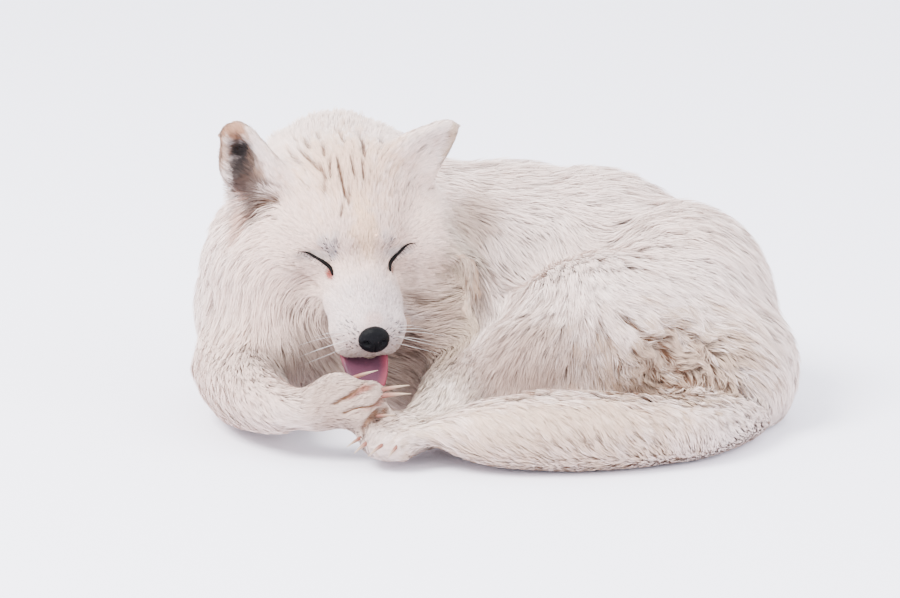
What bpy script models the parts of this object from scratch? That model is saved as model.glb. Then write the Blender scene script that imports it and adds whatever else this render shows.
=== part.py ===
"""A life-size arctic fox in its winter coat, lying curled with its head up, licking its right forepaw.

Metres, +Z up. The fox lies on Z = 0, centred over the origin, with its nose towards -Y, its chest
at -X and its rump at +X. The solids reach to the tips of the coat. Each named part of the body is
one closed solid, and neighbours keep a small gap. Left and right are the fox's own.
"""

import math

import bmesh
import bpy
from mathutils import Euler, Matrix, Vector

# ---------------------------------------------------------------- driving dimensions
GAP = 0.0003  # clearance between neighbouring solids
SMALLEST_FACE = 1e-5
SIDES = {"left": 1, "right": -1}

# The head has a frame of its own: +X its left, -Y its nose, +Z its crown.
HEAD_PLACE = Vector((-0.0660, -0.0240, 0.1205))
HEAD_YAW, HEAD_PITCH, HEAD_ROLL = 11, 21, -2  # degrees: towards the tail, nose down, left side up
EYE_CORNERS = Vector((0.0185, -0.056, 0.003)), Vector((0.0355, -0.040, 0.0135))  # inner and outer
EYE_SIZE = (0.0155, 0.0100, 0.0105)  # half sizes along the lids' slit, in depth and across the slit
EYE_BULGE = 0.0024  # how far the closed lids stand out of the face
NOSE = Vector((0, -0.1065, -0.0125))
NOSE_SIZE = (0.0103, 0.0064, 0.0094)
# ear: root, tip, where its cup faces, half width at the root, half width near the tip
EARS = {
    "left": ((0.0420, 0.0100, 0.0400), (0.0725, 0.0200, 0.0610), (0.30, -0.90, 0.10), 0.0270, 0.0060),
    "right": ((-0.0530, 0.0110, 0.0330), (-0.0725, 0.0210, 0.0715), (-0.55, -0.80, 0.10), 0.0235, 0.0125),
}
EAR_THICKNESS = 0.0105

TAIL_ROUTE = [
    (0.190, -0.086, 0.016),
    (0.168, -0.124, 0.019),
    (0.120, -0.146, 0.022),
    (0.060, -0.154, 0.025),
    (0.010, -0.157, 0.023),
    (-0.012, -0.158, 0.024),
]
TAIL_RADII = [0.016, 0.020, 0.024, 0.027, 0.020, 0.009]
TAIL_SPREAD = 0.5  # how much further the tail spreads forwards, in its own radius

PAW_WIDTH, PAW_THICKNESS = 0.0180, 0.0170  # half sizes across the toes
TOE_REACH = {"forepaw_right": (0.70, 0.97, 0.97, 0.88)}  # the raised paw's upper toe is drawn in
TOE_REACH_AT_REST = (0.90, 1.0, 1.0, 0.90)
CLAW_SPREAD = {"forepaw_right": (0.93, 0.4, 0.6, 1.0)}  # how far out on its toe each claw sits
CLAW_SPREAD_AT_REST = (1.0, 1.0, 1.0, 1.0)
CLAW_RADIUS = 0.0017
# name: wrist, where the toes point, where the back of the paw faces, length, claw length
PAWS = {
    "forepaw_right": ((-0.101, -0.138, 0.028), (0.97, -0.07, 0.24), (-0.05, -0.82, 0.57), 0.066, 0.019),
    "forepaw_left": ((-0.014, -0.130, 0.019), (-0.62, -0.78, -0.05), (0, -0.05, 1), 0.056, 0.013),
    "hind_paw_left": ((0.112, -0.117, 0.016), (-0.97, -0.22, 0), (0, 0, 1), 0.056, 0.012),
    "hind_paw_right": ((0.048, -0.090, 0.016), (-0.35, -0.94, 0), (0, 0, 1), 0.044, 0.010),
}


def head_frame():
    turn = Euler([math.radians(a) for a in (HEAD_PITCH, 0, 0)]).to_matrix()
    yaw = Matrix.Rotation(math.radians(HEAD_YAW), 3, "Z")
    roll = Matrix.Rotation(math.radians(HEAD_ROLL), 3, "Y")
    return Matrix.Translation(HEAD_PLACE) @ (yaw @ turn @ roll).to_4x4()


HEAD = head_frame()
WORLD = Matrix.Identity(4)

# name: base colour, roughness
FINISHES = {
    "coat": ((0.86, 0.81, 0.76), 0.85),
    "nose": ((0.02, 0.02, 0.025), 0.35),
    "tongue": ((0.72, 0.25, 0.30), 0.40),
    "claw": ((0.75, 0.66, 0.55), 0.35),
}


# ---------------------------------------------------------------- tools
def clear_scene():
    for obj in list(bpy.data.objects):
        bpy.data.objects.remove(obj, do_unlink=True)


def discard(*objects):
    for obj in objects:
        bpy.data.objects.remove(obj, do_unlink=True)


def link(mesh, name="piece"):
    obj = bpy.data.objects.new(name, mesh)
    bpy.context.scene.collection.objects.link(obj)
    return obj


def settle(obj):
    """Turns obj and its modifiers, or a curve, into a plain mesh."""
    bpy.context.view_layer.update()
    evaluated = obj.evaluated_get(bpy.context.evaluated_depsgraph_get())
    mesh = bpy.data.meshes.new_from_object(evaluated)
    if obj.type == "MESH":
        obj.modifiers.clear()
        obj.data = mesh
        return obj
    made = link(mesh, obj.name)
    made.matrix_world = obj.matrix_world
    discard(obj)
    return made


def frame_of(origin, forward, up):
    """A frame whose +Y runs along forward and whose +Z is as near to up as it can be."""
    forward = Vector(forward).normalized()
    across = forward.cross(Vector(up)).normalized()
    frame = Matrix((across, forward, across.cross(forward))).transposed().to_4x4()
    frame.translation = origin
    return frame


def ball(centre, size, turn=(0, 0, 0), frame=WORLD, fineness=4):
    """An ellipsoid of half-sizes size, turned by degrees about X, Y and Z."""
    bpy.ops.mesh.primitive_ico_sphere_add(subdivisions=fineness, radius=1)
    obj = bpy.context.object
    rotation = Euler([math.radians(a) for a in turn]).to_matrix().to_4x4()
    obj.data.transform(frame @ Matrix.Translation(centre) @ rotation @ Matrix.Diagonal((*size, 1)))
    return obj


def twins(centre, size, turn=(0, 0, 0), frame=WORLD):
    """The ellipsoid and its mirror image across the frame's X = 0."""
    x, y, z = centre
    a, b, c = turn
    return [ball((side * x, y, z), size, (a, side * b, side * c), frame) for side in (1, -1)]


def tube(route, radii, roundness=4, steps=6):
    """A smooth tapering tube along route, with closed ends."""
    curve = bpy.data.curves.new("tube", "CURVE")
    curve.dimensions = "3D"
    curve.bevel_depth = 1
    curve.bevel_resolution = roundness
    curve.resolution_u = steps
    curve.use_fill_caps = True
    spline = curve.splines.new("NURBS")
    spline.points.add(len(route) - 1)
    for point, place, radius in zip(spline.points, route, radii):
        point.co = (*place, 1)
        point.radius = radius
    spline.order_u = 3
    spline.use_endpoint_u = True
    obj = settle(link(curve, "tube"))
    bm = bmesh.new()
    bm.from_mesh(obj.data)
    bmesh.ops.remove_doubles(bm, verts=bm.verts, dist=SMALLEST_FACE)
    bmesh.ops.recalc_face_normals(bm, faces=bm.faces)
    bm.to_mesh(obj.data)
    bm.free()
    return obj


def limb(route, radii):
    """A tube with round ends."""
    return [tube(route, radii), *(ball(route[end], (radii[end],) * 3) for end in (0, -1))]


def join(masses):
    """One object holding the meshes of all the masses, some of which come in lists."""
    bm = bmesh.new()
    for mass in masses:
        for obj in mass if isinstance(mass, list) else [mass]:
            bm.from_mesh(obj.data)
            discard(obj)
    mesh = bpy.data.meshes.new("joined")
    bm.to_mesh(mesh)
    bm.free()
    return link(mesh)


def simplify(obj, triangles):
    obj.data.calc_loop_triangles()
    decimate = obj.modifiers.new("simplify", "DECIMATE")
    decimate.ratio = min(1, triangles / len(obj.data.loop_triangles))
    decimate.use_collapse_triangulate = True
    return settle(obj)


def blend(name, masses, fineness, triangles, softness=4):
    """Melts the masses into one smooth closed form of about that many triangles."""
    obj = join(masses)
    obj.name = name
    remesh = obj.modifiers.new("melt", "REMESH")
    remesh.mode = "VOXEL"
    remesh.voxel_size = fineness
    smooth = obj.modifiers.new("soften", "SMOOTH")
    smooth.factor = 0.5
    smooth.iterations = softness
    return simplify(settle(obj), triangles)


def islands(bm):
    """The mesh's connected pieces, each a set of vertices, largest first."""
    left = set(bm.verts)
    found = []
    while left:
        seed = left.pop()
        group, frontier = {seed}, [seed]
        while frontier:
            near = {v for edge in frontier.pop().link_edges for v in edge.verts} & left
            left -= near
            group |= near
            frontier.extend(near)
        found.append(group)
    return sorted(found, key=len, reverse=True)


def keep_main_body(obj):
    bm = bmesh.new()
    bm.from_mesh(obj.data)
    for group in islands(bm)[1:]:
        bmesh.ops.delete(bm, geom=list(group), context="VERTS")
    bm.to_mesh(obj.data)
    bm.free()


def cut_by(obj, cutter):
    """Cuts the cutter's shape out of obj, and removes the cutter."""
    cut = obj.modifiers.new("cut", "BOOLEAN")
    cut.operation = "DIFFERENCE"
    cut.object = cutter
    cut.use_self = True
    settle(obj)
    discard(cutter)


def carve(obj, neighbours, gap=GAP):
    """Cuts the neighbours, grown by the gap, out of obj."""
    for other in neighbours:
        cutter = link(other.data.copy(), "cutter")
        grow = cutter.modifiers.new("grow", "DISPLACE")
        grow.mid_level = 0
        grow.strength = gap
        cut_by(obj, settle(cutter))
    keep_main_body(obj)
    return obj


def lay_on_floor(obj):
    """Cuts off what reaches below Z = 0, so that obj rests on a flat."""
    if min(v.co.z for v in obj.data.vertices) > 0:
        return obj
    bm = bmesh.new()
    bm.from_mesh(obj.data)
    cut = bmesh.ops.bisect_plane(
        bm,
        geom=[*bm.verts, *bm.edges, *bm.faces],
        dist=SMALLEST_FACE,
        plane_co=(0, 0, 0),
        plane_no=(0, 0, -1),
        clear_outer=True,
    )
    rim = [item for item in cut["geom_cut"] if isinstance(item, bmesh.types.BMEdge)]
    bmesh.ops.holes_fill(bm, edges=rim, sides=0)
    bmesh.ops.triangulate(bm, faces=[face for face in bm.faces if len(face.verts) > 3])
    bmesh.ops.recalc_face_normals(bm, faces=bm.faces)
    bm.to_mesh(obj.data)
    bm.free()
    return obj


def part_at(obj, cuts, marks):
    """Parts obj by thin slabs, each (centre, normal). Each mark names the piece whose surface is nearest it."""
    reach = 0.5
    for centre, normal in cuts:
        bpy.ops.mesh.primitive_cube_add(size=1)
        slab = bpy.context.object
        turn = Vector(normal).to_track_quat("Z", "Y").to_matrix().to_4x4()
        slab.data.transform(Matrix.Translation(centre) @ turn @ Matrix.Diagonal((reach, reach, GAP, 1)))
        cut_by(obj, slab)
    pieces = []
    for name, mark in marks.items():
        bm = bmesh.new()
        bm.from_mesh(obj.data)
        nearest = min(bm.verts, key=lambda v: (v.co - Vector(mark)).length)
        for group in islands(bm):
            if nearest not in group:
                bmesh.ops.delete(bm, geom=list(group), context="VERTS")
        mesh = bpy.data.meshes.new(name)
        bm.to_mesh(mesh)
        bm.free()
        pieces.append(link(mesh, name))
    discard(obj)
    return pieces


def surface_point(obj, start, direction):
    """Where a ray from start first meets obj."""
    hit, place, _, _ = obj.ray_cast(start, direction)
    if not hit:
        raise ValueError(f"nothing of {obj.name} lies that way")
    return place


# ---------------------------------------------------------------- the trunk
def torso():
    """Neck, chest, loins and rump: a barrel bent round the fox's left side, lying on the floor."""
    body = blend(
        "torso",
        [
            ball((-0.086, 0.000, 0.060), (0.084, 0.076, 0.064)),  # chest
            ball((-0.106, -0.010, 0.090), (0.058, 0.060, 0.064)),  # ruff at the throat's right
            ball((-0.074, 0.036, 0.124), (0.060, 0.050, 0.064)),  # nape
            ball((-0.026, 0.050, 0.088), (0.082, 0.062, 0.068)),  # withers
            ball((0.038, 0.060, 0.072), (0.088, 0.070, 0.078)),  # ribs
            ball((0.092, 0.048, 0.068), (0.080, 0.070, 0.080)),  # loins
            ball((0.148, -0.002, 0.061), (0.067, 0.084, 0.074)),  # rump
            ball((0.158, -0.046, 0.034), (0.070, 0.064, 0.056)),  # buttock on the floor
            ball((0.030, 0.000, 0.040), (0.090, 0.052, 0.050)),  # belly in the curl
            ball((-0.010, -0.032, 0.064), (0.050, 0.048, 0.056)),  # left shoulder
            ball((-0.036, -0.048, 0.020), (0.046, 0.036, 0.030)),  # breast on the floor
        ],
        fineness=0.006,
        triangles=1290,
        softness=6,
    )
    fore, loins, rump = part_at(
        lay_on_floor(body),
        cuts=[((0.000, 0.030, 0.060), (1.0, 0.10, 0.0)), ((0.100, 0.030, 0.060), (1.0, -0.55, 0.0))],
        marks={"fore": (-0.12, 0, 0), "loins": (0.04, 0.13, 0.05), "rump": (0.22, -0.02, 0.05)},
    )
    neck, chest = part_at(
        fore,
        cuts=[((-0.085, 0.015, 0.112), (0.05, -0.35, 1.0))],
        marks={"neck": (-0.09, 0.04, 0.19), "chest": (-0.12, 0, 0)},
    )
    return neck, chest, loins, rump


# ---------------------------------------------------------------- the head
def skull():
    """The head without its lower jaw, alike on both sides of its own middle."""
    return blend(
        "head",
        [
            ball((0, 0.012, 0.010), (0.050, 0.052, 0.048), frame=HEAD),  # cranium
            ball((0, -0.020, 0.014), (0.037, 0.033, 0.030), frame=HEAD),  # forehead
            twins((0.038, -0.008, -0.006), (0.030, 0.036, 0.031), frame=HEAD),  # cheeks
            twins((0.050, 0.012, -0.014), (0.024, 0.036, 0.036), frame=HEAD),  # cheek ruffs
            twins((0.030, -0.022, -0.024), (0.024, 0.030, 0.022), frame=HEAD),  # jowls
            ball((0, -0.052, -0.010), (0.0255, 0.038, 0.0215), frame=HEAD),  # bridge of the nose
            ball((0, -0.085, -0.016), (0.0190, 0.0225, 0.0160), frame=HEAD),  # muzzle
            twins((0.0105, -0.0875, -0.0205), (0.0125, 0.0165, 0.0115), frame=HEAD),  # upper lips
        ],
        fineness=0.0035,
        triangles=1050,
        softness=3,
    )


def lower_jaw(head):
    jaw = blend(
        "lower_jaw",
        [
            ball((0, -0.076, -0.034), (0.0115, 0.0215, 0.0085), frame=HEAD),
            ball((0, -0.050, -0.034), (0.0170, 0.0220, 0.0090), frame=HEAD),
        ],
        fineness=0.0025,
        triangles=90,
    )
    return carve(jaw, [head])


def upright(facing, up):
    """A turn that sends +Z along up and +Y as near to facing as it can."""
    up = Vector(up).normalized()
    across = Vector(facing).cross(up).normalized()
    return Matrix((across, up.cross(across), up)).transposed().to_4x4()


def ear(side, head):
    """A rounded cup of fur, open to the front."""
    root, tip, facing, width, tip_width = EARS[side]
    up = Vector(tip) - Vector(root)
    height = up.length
    frame = HEAD @ Matrix.Translation(root) @ upright(facing, up)
    shell = blend(
        f"ear_{side}",
        [
            ball(
                (0, 0, height * step),
                (width + (tip_width - width) * step, EAR_THICKNESS * (1 - 0.35 * step), height * 0.36),
                frame=frame,
            )
            for step in (0, 0.25, 0.50, 0.72)
        ],
        fineness=0.0022,
        triangles=160,
        softness=2,
    )
    bowl_size = (width * 0.62, EAR_THICKNESS * 0.85, height * 0.50)
    cut_by(shell, ball((0, EAR_THICKNESS * 1.02, height * 0.44), bowl_size, frame=frame, fineness=2))
    return carve(shell, [head])


def eye(side, head):
    """The closed lids over the eyeball, standing a little out of the face."""
    inner, outer = (Vector((SIDES[side] * corner.x, corner.y, corner.z)) for corner in EYE_CORNERS)
    outward = Vector((SIDES[side] * 0.62, -0.72, 0.30)).normalized()
    start = (inner + outer) / 2 + outward * 0.03
    skin = surface_point(head, HEAD @ start, HEAD.to_3x3() @ -outward)
    centre = HEAD.inverted() @ skin - outward * (EYE_SIZE[1] - EYE_BULGE)
    slit = (outer - inner).normalized()
    turned = Matrix((slit, outward, slit.cross(outward).normalized())).transposed().to_4x4()
    turned.translation = centre
    lids = ball((0, 0, 0), EYE_SIZE, frame=HEAD @ turned, fineness=2)
    bm = bmesh.new()
    bm.from_mesh(lids.data)
    bmesh.ops.recalc_face_normals(bm, faces=bm.faces)
    bm.to_mesh(lids.data)
    bm.free()
    lids.name = f"eye_{side}"
    return lids


def nose(head):
    pad = ball(NOSE, NOSE_SIZE, frame=HEAD, fineness=2)
    pad.name = "nose"
    return carve(pad, [head])


def tongue(neighbours):
    """A strap that comes out over the lower lip and curls down onto the paw."""
    length, width, thickness = 0.036, 0.0155, 0.0042
    bpy.ops.mesh.primitive_grid_add(x_subdivisions=6, y_subdivisions=10, size=1)
    strap = bpy.context.object
    strap.name = "tongue"
    for vert in strap.data.vertices:
        across, along = vert.co.x * 2, vert.co.y + 0.5
        half = width * (1 - 0.35 * along**4)
        vert.co = (across * half, -along * length, -0.012 * along**2.2 + 0.0022 * across**2)
    strap.data.transform(HEAD @ Matrix.Translation((-0.0035, -0.0800, -0.0335)))
    body = strap.modifiers.new("body", "SOLIDIFY")
    body.thickness = thickness
    body.offset = 0
    soft = strap.modifiers.new("soft", "SUBSURF")
    soft.levels = soft.render_levels = 1
    simplify(settle(strap), 100)
    return carve(strap, neighbours)


# ---------------------------------------------------------------- the legs
def leg(name, route, radii, triangles=110, fineness=0.004):
    return lay_on_floor(blend(name, [limb(route, radii)], fineness, triangles))


def paw_with_claws(name, neighbours):
    """A paw with four toes, and a curved claw in each."""
    wrist, forward, back, length, claw_length = PAWS[name]
    frame = frame_of(wrist, forward, back)
    palm_size = (PAW_WIDTH * 0.92, length * 0.40, PAW_THICKNESS * 0.90)
    masses = [ball((0, 0.36 * length, 0), palm_size, frame=frame)]
    roots = []
    spread = CLAW_SPREAD.get(name, CLAW_SPREAD_AT_REST)
    for i, reach in enumerate(TOE_REACH.get(name, TOE_REACH_AT_REST)):
        across = (i - 1.5) * PAW_WIDTH * 0.52
        middle = length * (reach - 0.20)
        toe_size = (PAW_WIDTH * 0.34, length * 0.20, PAW_THICKNESS * 0.75)
        masses.append(ball((across, middle, 0), toe_size, frame=frame))
        roots.append(Vector((across * spread[i], length * (reach - 0.07), 0)))
    paw = carve(lay_on_floor(blend(name, masses, 0.0024, 200, softness=2)), neighbours)
    solids = [paw, *neighbours]
    claws = [claw(f"{name}_claw_{i + 1}", frame, root, claw_length, solids) for i, root in enumerate(roots)]
    return [paw, *claws]


def claw(name, frame, root, length, solids):
    """A claw that fans out and curves down from root, in the paw's frame."""
    steps = [0, 0.5, 1.0]
    route = []
    for step in steps:
        fan = root.x * 0.8 * step * length / 0.020
        point = frame @ (root + Vector((fan * 0.3, length * step, 0.0015 - 0.0035 * step * step)))
        point.z = max(point.z, CLAW_RADIUS)
        route.append(point)
    made = tube(route, [CLAW_RADIUS * (1 - 0.85 * step) for step in steps], roundness=0, steps=2)
    made.name = name
    return carve(made, solids)


# ---------------------------------------------------------------- the tail
def tail(neighbours):
    outer = [(x, y - r * TAIL_SPREAD, z) for (x, y, z), r in zip(TAIL_ROUTE, TAIL_RADII)]
    masses = [limb(TAIL_ROUTE, TAIL_RADII), limb(outer, TAIL_RADII)]
    whole = lay_on_floor(blend("tail", masses, 0.005, 300))
    carve(whole, neighbours)
    return part_at(
        whole,
        cuts=[((0.125, -0.140, 0.02), (1, 0.30, 0)), ((0.050, -0.150, 0.02), (1, 0, 0))],
        marks={
            "tail_root": (0.17, -0.13, 0.02),
            "tail_middle": (0.09, -0.18, 0.02),
            "tail_tip": (0.00, -0.18, 0.02),
        },
    )


# ---------------------------------------------------------------- finish
def finish_for(name):
    """A material of the node's own, in the finish that its name calls for."""
    material = bpy.data.materials.new(name)
    material.use_nodes = True
    shader = material.node_tree.nodes["Principled BSDF"]
    colour, roughness = FINISHES[next((finish for finish in FINISHES if finish in name), "coat")]
    shader.inputs["Base Color"].default_value = (*colour, 1)
    shader.inputs["Roughness"].default_value = roughness
    shader.inputs["Metallic"].default_value = 0
    return material


def stand_over_origin(parts):
    """Centres the whole fox over the origin, with its lowest flats at Z = 0."""
    places = [v.co for part in parts for v in part.data.vertices]
    low = Vector([min(p[i] for p in places) for i in range(3)])
    high = Vector([max(p[i] for p in places) for i in range(3)])
    shift = Vector((-(low.x + high.x) / 2, -(low.y + high.y) / 2, -low.z))
    for part in parts:
        part.data.transform(Matrix.Translation(shift))
    print("moved by", [round(x, 4) for x in shift], "size", [round(x, 4) for x in high - low])
    return shift


def main():
    clear_scene()
    neck, chest, loins, rump = torso()
    head = skull()
    trunk = [chest, loins, rump]

    eyes = [eye(side, head) for side in SIDES]
    carve(head, eyes)
    for part in (neck, chest, loins):
        carve(part, [head])
    jaw = carve(lower_jaw(head), [neck, chest])
    ears = [carve(ear(side, head), [neck]) for side in SIDES]
    pad = nose(head)

    thigh_left = blend(
        "hind_leg_left",
        [
            ball((0.112, -0.056, 0.058), (0.080, 0.052, 0.058), (0, 8, 0)),  # thigh
            ball((0.062, -0.082, 0.044), (0.046, 0.036, 0.044), (0, -10, 20)),  # knee
        ],
        fineness=0.006,
        triangles=290,
    )
    carve(lay_on_floor(thigh_left), trunk)
    thigh_right = leg("hind_leg_right", [(0.075, -0.060, 0.020), (0.020, -0.066, 0.020)], [0.030, 0.026])
    carve(thigh_right, [*trunk, thigh_left])

    foreleg_right = leg(
        "foreleg_right",
        [(-0.131, -0.036, 0.036), (-0.134, -0.092, 0.027), (-0.104, -0.136, 0.030)],
        [0.038, 0.027, 0.0165],
    )
    carve(foreleg_right, [chest, neck])
    foreleg_left = leg(
        "foreleg_left",
        [(0.020, -0.066, 0.036), (0.005, -0.108, 0.030), (-0.014, -0.131, 0.020)],
        [0.036, 0.027, 0.018],
    )
    carve(foreleg_left, [*trunk, thigh_left, thigh_right])

    legs = [foreleg_right, foreleg_left, thigh_left, thigh_right]
    paws = {}
    paws["forepaw_left"] = paw_with_claws("forepaw_left", [foreleg_left, chest])
    paws["forepaw_right"] = paw_with_claws(
        "forepaw_right", [foreleg_right, foreleg_left, chest, *paws["forepaw_left"]]
    )
    paws["hind_paw_left"] = paw_with_claws("hind_paw_left", [*trunk, *legs])
    paws["hind_paw_right"] = paw_with_claws(
        "hind_paw_right", [*trunk, *legs, *paws["hind_paw_left"], *paws["forepaw_left"]]
    )
    tongue_part = tongue([head, jaw, paws["forepaw_right"][0]])
    paw_parts = [part for group in paws.values() for part in group]
    tail_parts = tail([rump, chest, *legs, *paw_parts])

    parts = [neck, head, jaw, pad, tongue_part, *trunk, *ears, *eyes, *legs, *paw_parts, *tail_parts]
    stand_over_origin(parts)
    collection = bpy.data.collections.new("arctic_fox")
    bpy.context.scene.collection.children.link(collection)
    for part in parts:
        for owner in part.users_collection:
            owner.objects.unlink(part)
        collection.objects.link(part)
        part.data.materials.clear()
        part.data.materials.append(finish_for(part.name))
        part.data.shade_smooth()


main()
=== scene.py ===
# %% [markdown]
# # An arctic fox, curled up and licking its forepaw
#
# A life-size museum model in its thick white winter coat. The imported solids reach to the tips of
# the coat. Here they are replaced by one skin, drawn in by the depth of the coat, and by thousands
# of thin tufts that grow from that skin and lie along the body. The nose, tongue, claws, whiskers
# and the rims of the closed lids are pieces of their own.
#
# We start with the frame, the solids that every later piece is placed by. Places are given as shares
# of a solid's box, so they stay right if the solid is made a little larger or smaller.

# %% The frame
import math

import bmesh
import bpy
import numpy as np
from mathutils import Euler, Matrix, Vector, noise
from mathutils.bvhtree import BVHTree
from mathutils.kdtree import KDTree


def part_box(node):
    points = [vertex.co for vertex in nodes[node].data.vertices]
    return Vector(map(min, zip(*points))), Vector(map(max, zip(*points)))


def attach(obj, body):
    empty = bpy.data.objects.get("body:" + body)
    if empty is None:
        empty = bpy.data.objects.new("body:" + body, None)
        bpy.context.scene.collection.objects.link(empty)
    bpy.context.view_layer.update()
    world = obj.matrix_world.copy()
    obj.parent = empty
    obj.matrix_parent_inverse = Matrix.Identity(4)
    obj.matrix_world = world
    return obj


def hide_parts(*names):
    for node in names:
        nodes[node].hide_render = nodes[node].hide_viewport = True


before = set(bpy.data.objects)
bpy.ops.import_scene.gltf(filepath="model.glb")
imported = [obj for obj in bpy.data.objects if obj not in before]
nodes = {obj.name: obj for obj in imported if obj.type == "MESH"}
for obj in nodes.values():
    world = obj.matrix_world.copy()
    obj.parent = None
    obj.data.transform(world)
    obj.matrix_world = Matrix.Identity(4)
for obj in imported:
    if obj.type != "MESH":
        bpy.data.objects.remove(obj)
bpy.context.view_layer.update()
MM = 0.001


def at(node, x, y, z):
    """The place that is x, y and z of the way across a node's box."""
    low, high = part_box(node)
    return Vector(a + (b - a) * t for a, b, t in zip(low, high, (x, y, z)))


# %% [markdown]
# The head is turned and tilted, so its details are placed in a frame of its own, in millimetres:
# +X is the fox's left, -Y is its nose and +Z its crown. The frame hangs on the middle of the two
# closed eyes, which the solids give us.

# %% The head's own frame
HEAD_YAW, HEAD_PITCH, HEAD_ROLL = 11, 21, -2
EYES_FROM_HEAD = Vector((0, -38.65, 4.35))

head_turn = (
    Matrix.Rotation(math.radians(HEAD_YAW), 3, "Z")
    @ Matrix.Rotation(math.radians(HEAD_PITCH), 3, "X")
    @ Matrix.Rotation(math.radians(HEAD_ROLL), 3, "Y")
)
between_eyes = (at("eye_left", 0.5, 0.5, 0.5) + at("eye_right", 0.5, 0.5, 0.5)) / 2
HEAD = Matrix.Translation(between_eyes - head_turn @ EYES_FROM_HEAD * MM) @ (head_turn * MM).to_4x4()
TO_HEAD = HEAD.inverted()
print("the nose pad is at", [round(x) for x in TO_HEAD @ at("nose", 0.5, 0.5, 0.5)], "mm in the head's frame")


# %% [markdown]
# ## Camera, floor and light
#
# A camera close by would swell the nose and shrink the rump. A long lens, a little above the
# animal's back and well away, keeps the curled body free of such distortion.

# %% Camera
CAMERA_AIM = Vector((-0.0291, 0.0006, 0.0750))
CAMERA_DISTANCE = 3.2
CAMERA_HEIGHT_ANGLE = math.radians(14)
LENS = 200

backward = Vector((0, -math.cos(CAMERA_HEIGHT_ANGLE), math.sin(CAMERA_HEIGHT_ANGLE)))
bpy.ops.object.camera_add(location=CAMERA_AIM + backward * CAMERA_DISTANCE)
camera = bpy.context.object
camera.name = "camera"
camera.rotation_euler = backward.to_track_quat("Z", "Y").to_euler()
camera.data.lens = LENS
camera.data.clip_start = 0.05
bpy.context.scene.camera = camera
print("the camera is", round(camera.location.z, 2), "m above the floor")

# %% [markdown]
# The floor is one large plain, pale plane, just under the feet, so that the two never share a level.

# %% Floor
FLOOR_SIZE = 14
BELOW_FEET = 0.3 * MM
bpy.ops.mesh.primitive_plane_add(size=FLOOR_SIZE, location=(0, 0, -BELOW_FEET))
floor = bpy.context.object
floor.name = "floor"
floor_finish = bpy.data.materials.new("studio floor")
floor_finish.use_nodes = True
floor_shader = floor_finish.node_tree.nodes["Principled BSDF"]
floor_shader.inputs["Base Color"].default_value = (0.87, 0.86, 0.96, 1)
floor_shader.inputs["Roughness"].default_value = 0.9
floor.data.materials.append(floor_finish)

# %% [markdown]
# White fur shows its locks only in soft light from one side. A broad lamp stands high on the left, a
# weaker one on the right fills the shadows, and a bright, even surround acts as a white ceiling.

# %% Light
SURROUND = (0.94, 0.96, 1.0)
SURROUND_STRENGTH = 3.5
# name: place, size, power in watts, colour
LAMPS = {
    "high_left": ((-1.6, -1.0, 2.4), 1.6, 250, (1.0, 0.985, 0.96)),
    "right": ((2.2, -1.2, 1.5), 1.6, 40, (0.95, 0.97, 1.0)),
}

studio = bpy.data.worlds.new("studio")
studio.use_nodes = True
studio.node_tree.nodes["Background"].inputs["Color"].default_value = (*SURROUND, 1)
studio.node_tree.nodes["Background"].inputs["Strength"].default_value = SURROUND_STRENGTH
bpy.context.scene.world = studio
for name, (place, size, power, colour) in LAMPS.items():
    bpy.ops.object.light_add(type="AREA", location=place)
    lamp = bpy.context.object
    lamp.name = name
    lamp.data.shape = "DISK"
    lamp.data.size = size
    lamp.data.energy = power
    lamp.data.color = colour
    lamp.rotation_euler = (Vector(place) - CAMERA_AIM).to_track_quat("Z", "Y").to_euler()
print(len(LAMPS), "lamps and the surround")


# %% [markdown]
# ## The skin
#
# Flesh and skin have no seams, so the solids of the head, trunk, legs and tail are fused. Booleans
# would leave long thin triangles and sharp seams where two solids meet, so we remesh instead. Copies
# of the solids, their loose triangles merged, are puffed up by three millimetres to close the gaps
# and the narrow slots, joined, and remeshed into one even surface. The same three millimetres are
# taken off again later.

# %% Fuse the flesh
PUFF = 3 * MM
SKIN_FINENESS = 3.2 * MM
DOUBLED = 0.01 * MM
SEPARATE = ("claw", "nose", "tongue")
flesh = [name for name in sorted(nodes) if not any(word in name for word in SEPARATE)]


def select_only(*objects):
    bpy.ops.object.select_all(action="DESELECT")
    for obj in objects:
        obj.select_set(True)
    bpy.context.view_layer.objects.active = objects[0]


def copy_of(node):
    """A copy of a solid, with its doubled vertices merged."""
    piece = bpy.data.objects.new(node + "_copy", nodes[node].data.copy())
    bpy.context.scene.collection.objects.link(piece)
    select_only(piece)
    bpy.ops.object.mode_set(mode="EDIT")
    bpy.ops.mesh.select_all(action="SELECT")
    bpy.ops.mesh.remove_doubles(threshold=DOUBLED)
    bpy.ops.object.mode_set(mode="OBJECT")
    return piece


def apply_modifier(obj, kind, **settings):
    select_only(obj)
    modifier = obj.modifiers.new(kind.lower(), kind)
    for key, value in settings.items():
        setattr(modifier, key, value)
    bpy.ops.object.modifier_apply(modifier=modifier.name)


copies = [copy_of(name) for name in flesh]
for piece in copies:
    apply_modifier(piece, "DISPLACE", strength=PUFF, mid_level=0)
select_only(*copies)
bpy.ops.object.join()
skin = bpy.context.object
skin.name = "skin"
skin.data.materials.clear()
apply_modifier(skin, "REMESH", mode="VOXEL", voxel_size=SKIN_FINENESS)
apply_modifier(skin, "SMOOTH", factor=0.5, iterations=4)
print("fused skin:", len(skin.data.vertices), "vertices")


# %% [markdown]
# The remesh can leave closed bubbles inside the body, where two solids met. Only the outer surface
# is kept: the largest connected piece.

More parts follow.
